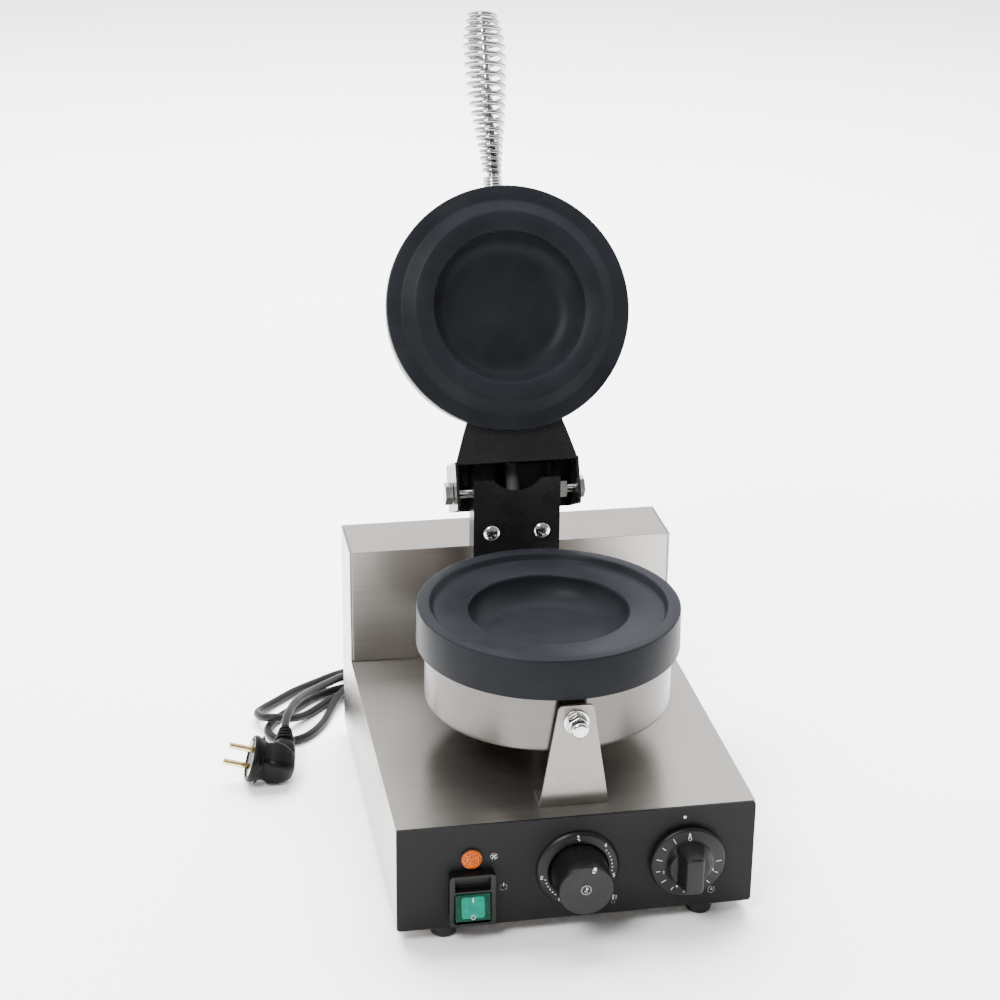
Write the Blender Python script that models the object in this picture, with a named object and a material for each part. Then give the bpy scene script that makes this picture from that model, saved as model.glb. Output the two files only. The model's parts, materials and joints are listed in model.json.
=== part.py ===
"""Single-head electric press for filled wafer and ice-cream discs, standing with its lid open.

Metres, +Z up, front panel towards -Y. The origin is on the bench, under the middle of the machine.
Inside the script the body is drawn in its own coordinates (panel face at y = 0, sheet metal from
z = 0 up) under the empty body_frame, and the lid is drawn shut under the empty lid_frame, whose
origin is the hinge axis and whose rotation opens it.
"""

import math

import bmesh
import bpy
from mathutils import Euler, Matrix, Vector

for old in list(bpy.data.objects):
    bpy.data.objects.remove(old, do_unlink=True)

# ---------------------------------------------------------------- driving dimensions
GAP = 0.0003  # clearance between pieces that touch
WIDTH = 0.250
DEPTH = 0.310
DECK_HEIGHT = 0.079
REAR_HEIGHT = 0.171
REAR_DEPTH = 0.055
SHEET = 0.0012
PANEL = 0.002
FOOT_HEIGHT = 0.010
FRONT_Y = -0.1926  # where the panel face stands in the part's frame

PAN_Y = 0.113  # centre of both pans, behind the panel face
RIM_TOP = 0.1876
RIM_BOTTOM = 0.165
RIM_RADIUS = 0.0934
DISH_RADIUS = 0.0575
DISH_DEPTH = 0.020
DRUM_RADIUS = 0.088
DRUM_BOTTOM = 0.1149

HINGE_Y = 0.248
HINGE_Z = 0.218
OPEN_ANGLE = math.radians(115)
LID_REACH = HINGE_Y - PAN_Y  # hinge axis to the middle of the upper pan
MATING = -(HINGE_Z - RIM_TOP - 0.001)  # mating plane below the hinge axis, lid shut
LID_RADIUS = 0.0918
LID_FLANGE = 0.0079
ARM_SHEET = 0.002
ARM_HALF_WIDTH = 0.047
PEDESTAL_HALF_WIDTH = 0.033
WALL_REACH = 0.0222  # hinge axis to the outer face of the lid bracket's wall
BOLT_RADIUS = 0.004

THERMOSTAT = (0.0, 0.039)  # x, z of each control on the panel
TIMER = (0.077, 0.0385)
LAMP = (-0.0738, 0.0535)
SWITCH = (-0.0738, 0.0245)
ROCKER_Z = 0.0188
WINDOW_AT = (SWITCH[0], ROCKER_Z)  # opening for the rocker, and its half sizes
WINDOW = (0.0135, 0.0125)
ROCKER_TILT = math.radians(8)

CORD_RADIUS = 0.00325
PIN_RADIUS = 0.0024

BIG_ROUND, ROUND, SMALL_ROUND = 48, 32, 16

# ---------------------------------------------------------------- materials
FINISHES = {
    "stainless": ((0.62, 0.60, 0.57), 0.32, 1.0),
    "cast_plate": ((0.045, 0.052, 0.065), 0.42, 0.55),
    "black_sheet": ((0.012, 0.012, 0.013), 0.35, 0.0),
    "panel_black": ((0.035, 0.035, 0.037), 0.55, 0.0),
    "knob_black": ((0.022, 0.022, 0.023), 0.45, 0.0),
    "chrome": ((0.78, 0.78, 0.78), 0.12, 1.0),
    "lamp_orange": ((0.95, 0.25, 0.03), 0.15, 0.0),
    "rocker_green": ((0.02, 0.42, 0.24), 0.2, 0.0),
    "black_rubber": ((0.02, 0.02, 0.02), 0.75, 0.0),
    "brass": ((0.78, 0.60, 0.30), 0.25, 1.0),
    "fibre": ((0.80, 0.78, 0.72), 0.95, 0.0),
    "sleeve": ((0.03, 0.03, 0.03), 0.8, 0.0),
    "inner_plastic": ((0.55, 0.52, 0.46), 0.6, 0.0),
}


def finish(name):
    made = bpy.data.materials.get(name)
    if made:
        return made
    colour, roughness, metallic = FINISHES[name]
    made = bpy.data.materials.new(name)
    made.use_nodes = True
    shader = made.node_tree.nodes["Principled BSDF"]
    shader.inputs["Base Color"].default_value = (*colour, 1.0)
    shader.inputs["Roughness"].default_value = roughness
    shader.inputs["Metallic"].default_value = metallic
    return made


# ---------------------------------------------------------------- building blocks
def empty(name, location, parent=None, rotation=(0, 0, 0)):
    made = bpy.data.objects.new(name, None)
    bpy.context.collection.objects.link(made)
    made.parent = parent
    made.location = location
    made.rotation_euler = rotation
    return made


def place(name, data, look, parent, location=(0, 0, 0), rotation=(0, 0, 0)):
    made = bpy.data.objects.new(name, data)
    bpy.context.collection.objects.link(made)
    if look:
        data.materials.append(finish(look))
    made.parent = parent
    made.location = location
    made.rotation_euler = rotation
    return made


def mesh_from(shape, sharp=35):
    bmesh.ops.recalc_face_normals(shape, faces=shape.faces)
    data = bpy.data.meshes.new("shape")
    shape.to_mesh(data)
    shape.free()
    data.shade_smooth()
    data.set_sharp_from_angle(angle=math.radians(sharp))
    return data


def lofted(*loops):
    """A closed solid through two or more loops with the same number of points."""
    shape = bmesh.new()
    rings = [[shape.verts.new(p) for p in loop] for loop in loops]
    shape.faces.new(rings[0][::-1])
    shape.faces.new(rings[-1])
    for low, high in zip(rings, rings[1:]):
        for i in range(len(low)):
            j = (i + 1) % len(low)
            shape.faces.new((low[i], low[j], high[j], high[i]))
    return mesh_from(shape)


def extruded(outline, axis, low, high):
    """The outline (pairs on the two other axes, in order) drawn out along axis 0, 1 or 2."""
    others = [a for a in range(3) if a != axis]

    def loop(at):
        points = []
        for u, v in outline:
            point = [0.0, 0.0, 0.0]
            point[others[0]], point[others[1]], point[axis] = u, v, at
            points.append(point)
        return points

    return lofted(loop(low), loop(high))


def block(x, y, z):
    return extruded([(x[0], y[0]), (x[1], y[0]), (x[1], y[1]), (x[0], y[1])], 2, *z)


def arc(centre, radius, start, end, steps):
    """Points on an arc, angles in degrees, both ends included."""
    points = []
    for i in range(steps + 1):
        angle = math.radians(start + (end - start) * i / steps)
        points.append(
            (centre[0] + radius * math.cos(angle), centre[1] + radius * math.sin(angle))
        )
    return points


def rounded(half_x, half_z, radius, centre=(0, 0), steps=4):
    """A rectangle with round corners, anticlockwise."""
    points = []
    for sx, sz, start in ((1, 1, 0), (-1, 1, 90), (-1, -1, 180), (1, -1, 270)):
        corner = (
            centre[0] + sx * (half_x - radius),
            centre[1] + sz * (half_z - radius),
        )
        points += arc(corner, radius, start, start + 90, steps)
    return points


def circle(centre, radius, steps=SMALL_ROUND):
    return arc(centre, radius, 0, 360, steps)[:-1]


def hexagon(centre, across):
    return arc(centre, across / math.sqrt(3), 30, 390, 6)[:-1]


def turned(profile, steps=ROUND):
    """The closed outline of (radius, height) pairs swung round Z."""
    shape = bmesh.new()
    rings = []
    for radius, height in profile:
        if radius < 1e-6:
            rings.append([shape.verts.new((0, 0, height))])
            continue
        ring = []
        for i in range(steps):
            angle = 2 * math.pi * i / steps
            ring.append(
                shape.verts.new((radius * math.cos(angle), radius * math.sin(angle), height))
            )
        rings.append(ring)
    for k, ring in enumerate(rings):
        after = rings[(k + 1) % len(rings)]
        for i in range(steps):
            j = (i + 1) % steps
            corners = [ring[i % len(ring)], ring[j % len(ring)]]
            corners += [after[j % len(after)], after[i % len(after)]]
            corners = list(dict.fromkeys(corners))
            if len(corners) > 2:
                shape.faces.new(corners)
    return mesh_from(shape)


def bar(radius, low, high, steps=SMALL_ROUND):
    return turned([(0, low), (radius, low), (radius, high), (0, high)], steps)


def cutter(target, data, operation="DIFFERENCE", location=(0, 0, 0), rotation=(0, 0, 0)):
    """Takes a hidden shape, placed beside its target, away from it or adds it."""
    tool = place(target.name + "_tool", data, None, target.parent, location, rotation)
    tool.hide_render = True
    tool.display_type = "WIRE"
    change = target.modifiers.new(operation.lower(), "BOOLEAN")
    change.operation = operation
    change.object = tool
    return tool


def smooth_route(points, count):
    """Evenly spaced points on a smooth curve through the given ones."""
    fine = []
    ends = [points[0] * 2 - points[1]] + points + [points[-1] * 2 - points[-2]]
    for k in range(len(points) - 1):
        p0, p1, p2, p3 = ends[k : k + 4]
        for i in range(16):
            t = i / 16
            fine.append(
                0.5
                * (
                    2 * p1
                    + (p2 - p0) * t
                    + (2 * p0 - 5 * p1 + 4 * p2 - p3) * t * t
                    + (3 * p1 - p0 - 3 * p2 + p3) * t * t * t
                )
            )
    fine.append(points[-1])
    walked = [0.0]
    for a, b in zip(fine, fine[1:]):
        walked.append(walked[-1] + (b - a).length)
    even = []
    k = 0
    for i in range(count):
        goal = walked[-1] * i / (count - 1)
        while k < len(walked) - 2 and walked[k + 1] < goal:
            k += 1
        share = (goal - walked[k]) / (walked[k + 1] - walked[k])
        even.append(fine[k].lerp(fine[k + 1], share))
    return even


def tube(points, radius, resolution=2, thickness=None):
    """A round tube with closed ends; thickness scales its radius point by point."""
    data = bpy.data.curves.new("tube", "CURVE")
    data.dimensions = "3D"
    data.bevel_depth = radius
    data.bevel_resolution = resolution
    data.use_fill_caps = True
    line = data.splines.new("POLY")
    line.points.add(len(points) - 1)
    for i, (at, point) in enumerate(zip(line.points, points)):
        at.co = (*point, 1.0)
        at.radius = thickness[i] if thickness else 1.0
    return data


FACING_FRONT = (math.radians(90), 0, 0)  # local Z towards the operator
KNOB_SET = (math.radians(90), math.radians(18), 0)  # its mark just past twelve o'clock
ALONG_X = (0, math.radians(90), 0)
ALONG_Y = (math.radians(-90), 0, 0)

body = empty("body_frame", (0, FRONT_Y, FOOT_HEIGHT))
lid = empty("lid_frame", (0, HINGE_Y, HINGE_Z), body, (-OPEN_ANGLE, 0, 0))


# ---------------------------------------------------------------- sheet-metal body
def make_housing():
    """L-shaped sides, deck and front wall in one folded shell, open below and behind."""
    front = PANEL + GAP
    step = DEPTH - REAR_DEPTH
    outline = [
        (front, 0),
        (DEPTH, 0),
        (DEPTH, REAR_HEIGHT),
        (step, REAR_HEIGHT),
        (step, DECK_HEIGHT),
        (front, DECK_HEIGHT),
    ]
    shell = place(
        "base_housing", extruded(outline, 0, -WIDTH / 2, WIDTH / 2), "stainless", body
    )
    past = 0.001
    lip = step + 0.0018
    hollow = [
        (front + SHEET, -past),
        (DEPTH + past, -past),
        (DEPTH + past, REAR_HEIGHT + past),
        (step - past, REAR_HEIGHT + past),
        (step - past, DECK_HEIGHT),
        (lip, DECK_HEIGHT),
        (lip, DECK_HEIGHT - SHEET),
        (front + SHEET, DECK_HEIGHT - SHEET),
    ]
    inside = WIDTH / 2 - SHEET
    cutter(shell, extruded(hollow, 0, -inside, inside))
    holes = [circle(THERMOSTAT, 0.006), circle(TIMER, 0.006), circle(LAMP, 0.0056)]
    holes.append(rounded(*WINDOW, 0.001, WINDOW_AT, 1))
    for hole in holes:
        cutter(shell, extruded(hole, 1, 0, 0.006))
    for y, radius in ((PAN_Y, 0.008), (HINGE_Y - 0.001, 0.0065)):
        deck_hole = extruded(circle((0, y), radius), 2, DECK_HEIGHT - 0.003, DECK_HEIGHT + 0.001)
        cutter(shell, deck_hole)
    return shell


def make_rear_cover():
    """Front wall, top and back of the tall rear box, folded from one strip."""
    front = DEPTH - REAR_DEPTH
    bottom = DECK_HEIGHT + GAP
    strip = [
        (front, bottom),
        (front, REAR_HEIGHT),
        (DEPTH, REAR_HEIGHT),
        (DEPTH, 0.002),
        (DEPTH - SHEET, 0.002),
        (DEPTH - SHEET, REAR_HEIGHT - SHEET),
        (front + SHEET, REAR_HEIGHT - SHEET),
        (front + SHEET, bottom),
    ]
    half = WIDTH / 2 - SHEET - GAP
    cover = place("rear_box_cover", extruded(strip, 0, -half, half), "stainless", body)
    cutter(cover, extruded(circle(GLAND, 0.0066), 1, DEPTH - 0.004, DEPTH + 0.001))
    return cover


GLAND = (0.005, 0.022)  # x, z of the cord's way out of the back


def make_bottom_plate():
    half = WIDTH / 2 - SHEET - GAP
    front = PANEL + SHEET + 2 * GAP
    plate = block((-half, half), (front, DEPTH - SHEET - GAP), (0.0002, 0.0014))
    return place("bottom_plate", plate, "stainless", body)


def make_control_panel():
    outline = rounded(WIDTH / 2, DECK_HEIGHT / 2, 0.0025, (0, DECK_HEIGHT / 2))
    panel = place("control_panel", extruded(outline, 1, 0, PANEL), "panel_black", body)
    for x, z in (THERMOSTAT, TIMER):
        cutter(panel, extruded(circle((x, z), 0.0045), 1, -0.001, 0.004))
    cutter(panel, extruded(circle(LAMP, 0.0056), 1, -0.001, 0.004))
    window = rounded(*WINDOW, 0.001, WINDOW_AT, 1)
    cutter(panel, extruded(window, 1, -0.001, 0.004))
    return panel


def make_feet():
    foot = turned(
        [
            (0, -0.0048),
            (0.0035, -0.0048),
            (0.0035, -FOOT_HEIGHT),
            (0.0084, -FOOT_HEIGHT),
            (0.0092, -0.0092),
            (0.0101, -0.0005),
            (0.0096, -GAP),
            (0, -GAP),
        ],
        20,
    )
    for side, x in (("left", -0.091), ("right", 0.091)):
        for end, y in (("front", 0.0125), ("rear", DEPTH - 0.0125)):
            place(f"foot_{end}_{side}", foot.copy(), "black_rubber", body, (x, y, 0))


# ---------------------------------------------------------------- controls
def make_lamp():
    lens = [(0, 0.0052), (0.0030, 0.0048), (0.0056, 0.0032), (0.0070, 0.0008)]
    lens += [(0.0070, GAP), (0.0050, GAP), (0.0050, -0.0014), (0, -0.0014)]
    at = (LAMP[0], 0, LAMP[1])
    place("indicator_lens", turned(lens, 24), "lamp_orange", body, at, FACING_FRONT)
    holder = [(0, -0.0018), (0.0050, -0.0018), (0.0050, -0.0039), (0.0075, -0.0039)]
    holder += [(0.0075, -0.0080), (0.0045, -0.0085), (0.0045, -0.026), (0, -0.026)]
    place("indicator_body", turned(holder, 16), "inner_plastic", body, at, FACING_FRONT)


def make_switch():
    x, z = SWITCH
    outline = rounded(0.0160, 0.0200, 0.003)
    frame = place("switch_frame", extruded(outline, 1, -0.008, -GAP), "knob_black", body, (x, 0, z))
    well = rounded(0.0128, 0.0119, 0.001, (0, ROCKER_Z - z), 1)
    cutter(frame, extruded(well, 1, -0.0090, 0.001), location=(x, 0, z))
    hood = [(-0.0088, 0.0078), (-0.0088, 0.0180), (-0.0040, 0.0172), (-0.0028, 0.0086)]
    cutter(frame, extruded(hood, 0, -0.0122, 0.0122), location=(x, 0, z))
    # The rocker pivots behind the frame's face; its lower end stands out when it is switched on.
    tall = 0.0104
    side = [
        (-0.0088, -tall),
        (-0.0100, -tall + 0.0008),
        (-0.0088, 0.0),
        (-0.0100, tall - 0.0008),
        (-0.0088, tall),
        (0.0010, tall),
        (0.0030, tall - 0.0045),
        (0.0030, 0.0045 - tall),
        (0.0010, -tall),
    ]
    rocker = extruded(side, 0, -0.0121, 0.0121)
    at = (x, 0.0005, ROCKER_Z)
    place("switch_rocker", rocker, "rocker_green", body, at, (-ROCKER_TILT, 0, 0))
    case = block((-0.0125, 0.0125), (0.0062, 0.030), (-0.0115, 0.0115))
    place("switch_body", case, "inner_plastic", body, (x, 0, ROCKER_Z))


def make_thermostat():
    x, z = THERMOSTAT
    at = (x, 0, z)
    ring = [(0.0205, GAP), (0.0290, GAP), (0.0290, 0.0016), (0.0272, 0.0034)]
    ring += [(0.0215, 0.0042), (0.0205, 0.0034)]
    place("thermostat_dial_ring", turned(ring, 40), "knob_black", body, at, FACING_FRONT)
    knob = place(
        "thermostat_knob",
        turned(
            [
                (0, 0.0292),
                (0.0060, 0.0293),
                (0.0090, 0.0300),
                (0.0180, 0.0300),
                (0.0190, 0.0288),
                (0.0199, 0.0012),
                (0.0170, 0.0012),
                (0.0165, 0.0200),
                (0, 0.0200),
            ],
            40,
        ),
        "knob_black",
        body,
        at,
        KNOB_SET,
    )
    notch = block((-0.0011, 0.0011), (0.0155, 0.0215), (0.0250, 0.0310))
    cutter(knob, notch, location=at, rotation=KNOB_SET)
    place("thermostat_shaft", bar(0.003, -0.012, 0.0197), "chrome", body, at, FACING_FRONT)
    case = turned([(0, -0.0124), (0.021, -0.0124), (0.021, -0.036), (0, -0.036)], 24)
    place("thermostat_body", case, "inner_plastic", body, at, FACING_FRONT)
    route = [(x, 0.037), (x, 0.052), (x, 0.070), (x, 0.090), (x, 0.106), (x, 0.112)]
    heights = [z, z + 0.001, z + 0.003, z + 0.008, z + 0.022, z + 0.045]
    line = [Vector((px, py, pz)) for (px, py), pz in zip(route, heights)]
    line += [Vector((x, PAN_Y, h)) for h in (0.105, 0.120, 0.128, 0.130, 0.154)]
    thick = [1.0] * (len(line) - 2) + [2.2, 2.2]
    place("thermostat_bulb", tube(line, 0.0012, 1, thick), "chrome", body)


def make_timer():
    x, z = TIMER
    at = (x, 0, z)
    skirt = [
        (0, 0.0125),
        (0.0140, 0.0125),
        (0.0170, 0.0074),
        (0.0256, 0.0060),
        (0.0266, 0.0048),
        (0.0266, 0.0022),
        (0, 0.0022),
    ]
    knob = place("timer_knob", turned(skirt, 40), "knob_black", body, at, FACING_FRONT)
    low = [(u, v, 0.0050) for u, v in rounded(0.0115, 0.0168, 0.006)]
    high = [(u, v, 0.0255) for u, v in rounded(0.0060, 0.0138, 0.0025)]
    cutter(knob, lofted(low, high), "UNION", at, FACING_FRONT)
    cutter(knob, bar(0.0034, 0.0, 0.0120), location=at, rotation=FACING_FRONT)
    place("timer_shaft", bar(0.003, -0.012, 0.0115), "chrome", body, at, FACING_FRONT)
    case = block((-0.021, 0.021), (0.0124, 0.044), (-0.022, 0.022))
    place("timer_body", case, "inner_plastic", body, at)


def make_terminal_block():
    strip = block((-0.030, 0.030), (0.262, 0.284), (0.0045, 0.0150))
    made = place("terminal_block", strip, "inner_plastic", body, (-0.062, 0, 0))
    for i in range(5):
        well = extruded(circle((-0.023 + 0.0115 * i, 0.273), 0.003, 8), 2, 0.009, 0.016)
        cutter(made, well, location=(-0.062, 0, 0))


# ---------------------------------------------------------------- lower pan
def dish(outward, depth):
    """Inner outline of a moulded dish from its sharp edge to its middle: radius, drop."""
    floor = DISH_RADIUS - depth
    curve = [(DISH_RADIUS + 0.0003, 0.0), (DISH_RADIUS - 0.0005, -0.0008)]
    steps = 5
    for i in range(1, steps + 1):
        angle = math.radians(90 * i / steps)
        curve.append(
            (floor + (depth - 0.001) * math.cos(angle), -depth * math.sin(angle))
        )
    return [(radius, outward * drop) for radius, drop in curve] + [(0, -outward * depth)]


def make_lower_pan():
    recess = RIM_TOP - 0.005
    floor = recess - DISH_DEPTH
    plate = [
        (RIM_RADIUS + 0.0005, RIM_BOTTOM),
        (RIM_RADIUS, RIM_TOP - 0.0008),
        (RIM_RADIUS - 0.0008, RIM_TOP),
        (0.0840, RIM_TOP),
        (0.0820, recess),
    ]
    plate += [(radius, recess + drop) for radius, drop in dish(1, DISH_DEPTH)]
    plate += [
        (0, floor - 0.0045),
        (0.040, floor - 0.0045),
        (0.054, floor + 0.0010),
        (0.062, recess - 0.008),
        (0.086, recess - 0.008),
        (0.086, RIM_BOTTOM),
    ]
    at = (0, PAN_Y, 0)
    place("lower_plate", turned(plate, BIG_ROUND), "cast_plate", body, at)
    drum = [
        (DRUM_RADIUS, RIM_BOTTOM - 0.0004),
        (DRUM_RADIUS, DRUM_BOTTOM + 0.0030),
        (DRUM_RADIUS - 0.0030, DRUM_BOTTOM),
        (0.012, DRUM_BOTTOM),
        (0.012, DRUM_BOTTOM + 0.001),
        (DRUM_RADIUS - 0.0034, DRUM_BOTTOM + 0.001),
        (DRUM_RADIUS - 0.0010, DRUM_BOTTOM + 0.0034),
        (DRUM_RADIUS - 0.0010, RIM_BOTTOM - 0.0004),
    ]
    shell = place("lower_drum", turned(drum, BIG_ROUND), "stainless", body, at)
    cutter(
        shell,
        bar(STUD_RADIUS + GAP, -0.095, 0.095),
        location=(0, PAN_Y, STUD_Z),
        rotation=ALONG_Y,
    )
    make_heater("lower_heater", body, at, 0.1695, 0.139, -90)
    pad = [(0.014, 0.118), (0.084, 0.118), (0.084, 0.134), (0.014, 0.134)]
    place("lower_insulation", turned(pad, ROUND), "fibre", body, at)
    sleeve = [(0.0066, DECK_HEIGHT - 0.008), (0.0076, DECK_HEIGHT - 0.008)]
    sleeve += [(0.0076, DECK_HEIGHT + 0.0005), (0.0098, DECK_HEIGHT + 0.0008)]
    sleeve += [(0.0098, DRUM_BOTTOM - 0.0005), (0.0066, DRUM_BOTTOM - 0.0005)]
    place("heater_conduit", turned(sleeve, SMALL_ROUND), "stainless", body, at)


def make_heater(name, parent, at, height, leg_end, opening):
    """A tubular element bent into an open ring, its two ends turned away from the plate."""
    radius = 0.0745
    line = []
    for angle in range(10, 351, 17):
        turn = math.radians(angle + opening)
        line.append(Vector((radius * math.cos(turn), radius * math.sin(turn), height)))
    start, end = line[0].copy(), line[-1].copy()
    start.z = end.z = leg_end
    place(name, tube([start] + line + [end], 0.0036, 1), "chrome", parent, at)


STUD_RADIUS = 0.003
STUD_Z = 0.1435


def make_supports():
    """Front and rear sheet brackets that carry the drum on a stud at each end."""
    for end, mirror in (("front", 1), ("rear", -1)):
        face = PAN_Y - mirror * (PAN_Y - 0.0157)
        inner = face + mirror * 0.002
        toe = face + mirror * 0.020
        low, high = sorted((face, inner))
        sides = [(-0.0242, DECK_HEIGHT + GAP), (0.0242, DECK_HEIGHT + GAP)]
        sides += arc((0.0123 - 0.003, 0.1526), 0.003, 10, 90, 3)
        sides += arc((-0.0123 + 0.003, 0.1526), 0.003, 90, 170, 3)
        bracket = place(
            f"{end}_support_bracket", extruded(sides, 1, low, high), "stainless", body
        )
        low, high = sorted((face + mirror * 0.0002, toe))
        foot = block((-0.0240, 0.0240), (low, high), (DECK_HEIGHT + GAP, DECK_HEIGHT + 0.0023))
        cutter(bracket, foot, "UNION")
        through = bar(STUD_RADIUS + GAP, -0.004, 0.004)
        cutter(bracket, through, location=(0, (face + inner) / 2, STUD_Z), rotation=ALONG_Y)
        # Turned from the pan's middle outwards: inner head, shank, spacer collar, shank.
        wall = DRUM_RADIUS - 0.001
        reach = PAN_Y - 0.0157
        stud = [
            (0, wall - 0.0030),
            (0.006, wall - 0.0030),
            (0.006, wall - 0.0008),
            (STUD_RADIUS, wall - 0.0008),
            (STUD_RADIUS, wall + 0.0018),
            (0.0055, wall + 0.0018),
            (0.0055, reach - 0.0024),
            (STUD_RADIUS, reach - 0.0024),
        ]
        if mirror > 0:
            stud += [(STUD_RADIUS, reach + 0.0045), (0, reach + 0.0045)]
        else:
            stud += [(STUD_RADIUS, reach + 0.0004), (0.0055, reach + 0.0004)]
            stud += [(0.0055, reach + 0.0050), (0, reach + 0.0050)]
        turn = FACING_FRONT if mirror > 0 else ALONG_Y
        place(f"{end}_stud", turned(stud), "chrome", body, (0, PAN_Y, STUD_Z), turn)
    at = (0, 0.0157, STUD_Z)
    washer = [(STUD_RADIUS + GAP, GAP), (0.0090, GAP), (0.0090, 0.0012), (0.0085, 0.0016)]
    washer += [(STUD_RADIUS + GAP, 0.0016)]
    place("support_washer", turned(washer, 24), "chrome", body, at, FACING_FRONT)
    nut = place(
        "support_cap_nut",
        extruded(hexagon((0, 0), 0.0130), 2, 0.0019, 0.0085),
        "chrome",
        body,
        at,
        FACING_FRONT,
    )
    dome = [(0, 0.0150), (0.0028, 0.0144), (0.0048, 0.0126), (0.0058, 0.0098)]
    dome += [(0.0060, 0.0080), (0, 0.0080)]
    cutter(nut, turned(dome, 24), "UNION", at, FACING_FRONT)
    cutter(nut, bar(STUD_RADIUS + GAP, 0.0, 0.0052), location=at, rotation=FACING_FRONT)


# ---------------------------------------------------------------- hinge
PEDESTAL_TOP = HINGE_Z + 0.014
PEDESTAL_FRONT = HINGE_Y - 0.013
PEDESTAL_BACK = 0.2545
NOTCH_RADIUS = 0.0218
NOTCH_LOW = HINGE_Z + 0.0043
SCREW_X, SCREW_Z = 0.0193, 0.1894


def make_pedestal():
    """Upright channel on the deck; the ears at the back of its sides stop the open lid."""
    # The ears' slanting top edge lies along the wall of the lid's bracket, lid open.
    near, far = Vector((0.0070, 0.0186)), Vector((0.0140, 0.0156))
    side = [
        (PEDESTAL_FRONT, DECK_HEIGHT + GAP),
        (PEDESTAL_BACK, DECK_HEIGHT + GAP),
        (PEDESTAL_BACK, 0.198),
        (HINGE_Y + far.x, 0.206),
        (HINGE_Y + far.x, HINGE_Z + far.y),
        (HINGE_Y + near.x, HINGE_Z + near.y),
        (HINGE_Y, PEDESTAL_TOP),
        (PEDESTAL_FRONT, PEDESTAL_TOP),
    ]
    half = PEDESTAL_HALF_WIDTH
    channel = place("hinge_pedestal", extruded(side, 0, -half, half), "black_sheet", body)
    hollow = block(
        (ARM_SHEET - half, half - ARM_SHEET),
        (PEDESTAL_FRONT + ARM_SHEET, HINGE_Y + far.x + 0.001),
        (DECK_HEIGHT + 0.0023, HINGE_Z + near.y + 0.001),
    )
    cutter(channel, hollow)
    notch = extruded(circle((0, NOTCH_LOW + NOTCH_RADIUS), NOTCH_RADIUS, ROUND), 1, -0.001, 0.003)
    cutter(channel, notch, location=(0, PEDESTAL_FRONT, 0))
    hinge_hole = bar(BOLT_RADIUS + GAP, -half - 0.001, half + 0.001)
    cutter(channel, hinge_hole, location=(0, HINGE_Y, HINGE_Z), rotation=ALONG_X)
    lead_hole = extruded(circle((0, HINGE_Y - 0.001), 0.0062), 2, DECK_HEIGHT - 0.001, 0.085)
    cutter(channel, lead_hole)
    for x in (-SCREW_X, SCREW_X):
        hole = extruded(circle((x, SCREW_Z), 0.0027, 12), 1, -0.001, 0.003)
        cutter(channel, hole, location=(0, PEDESTAL_FRONT, 0))


def make_pedestal_screws():
    """Cross-head screws through the channel's web into the bar that clamps the lead."""
    profile = [
        (0, 0.0034),
        (0.0032, 0.0031),
        (0.0056, 0.0018),
        (0.0062, GAP),
        (0.0024, GAP),
        (0.0024, -0.0080),
        (0, -0.0080),
    ]
    for side, x in (("left", -SCREW_X), ("right", SCREW_X)):
        at = (x, PEDESTAL_FRONT, SCREW_Z)
        screw = place(
            f"pedestal_screw_{side}", turned(profile, 24), "chrome", body, at, FACING_FRONT
        )
        for half_x, half_y in ((0.0006, 0.0036), (0.0036, 0.0006)):
            slot = block((-half_x, half_x), (-half_y, half_y), (0.0018, 0.0050))
            cutter(screw, slot, location=at, rotation=FACING_FRONT)
    behind = PEDESTAL_FRONT + ARM_SHEET + GAP
    clamp = place(
        "lead_clamp_bar",
        block((-0.027, 0.027), (behind, behind + 0.0030), (SCREW_Z - 0.006, SCREW_Z + 0.006)),
        "stainless",
        body,
    )
    for x in (-SCREW_X, SCREW_X):
        hole = extruded(circle((x, SCREW_Z), 0.0027, 12), 1, behind - 0.001, behind + 0.004)
        cutter(clamp, hole)


def make_hinge_bolts():
    """A bolt at each side; the left nut sits inside the channel, the right one in the gap."""
    head_at = ARM_HALF_WIDTH + GAP
    for side, mirror in (("left", -1), ("right", 1)):
        turn = (0, math.radians(90 * mirror), 0)
        at = (0, HINGE_Y, HINGE_Z)
        bolt = place(
            f"hinge_bolt_{side}",
            extruded(hexagon((0, 0), 0.0150), 2, head_at, head_at + 0.0062),
            "chrome",
            body,
            at,
            turn,
        )
        shank = bar(BOLT_RADIUS, 0.0225, head_at + 0.001)
        cutter(bolt, shank, "UNION", at, turn)
        start = 0.0240 if mirror < 0 else PEDESTAL_HALF_WIDTH + GAP
        nut = place(
            f"hinge_nut_{side}",
            extruded(hexagon((0, 0), 0.0130), 2, start, start + 0.0066),
            "chrome",
            body,
            at,
            turn,
        )
        cutter(nut, bar(BOLT_RADIUS + GAP, 0.020, 0.045), location=at, rotation=turn)


# ---------------------------------------------------------------- lid, drawn shut
PAN_AT = (0, -LID_REACH, 0)
FLANGE_BACK = MATING + LID_FLANGE
ARM_LOW = FLANGE_BACK + 0.0004
ARM_TOP = ARM_LOW + ARM_SHEET
COVER_LOW = ARM_TOP + 0.0004
COVER_TOP = COVER_LOW + 0.0367
WALL_TOP = 0.024
LEAD_Z = 0.009
ROD_Z = 0.004
ROD_RADIUS = 0.004


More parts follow.
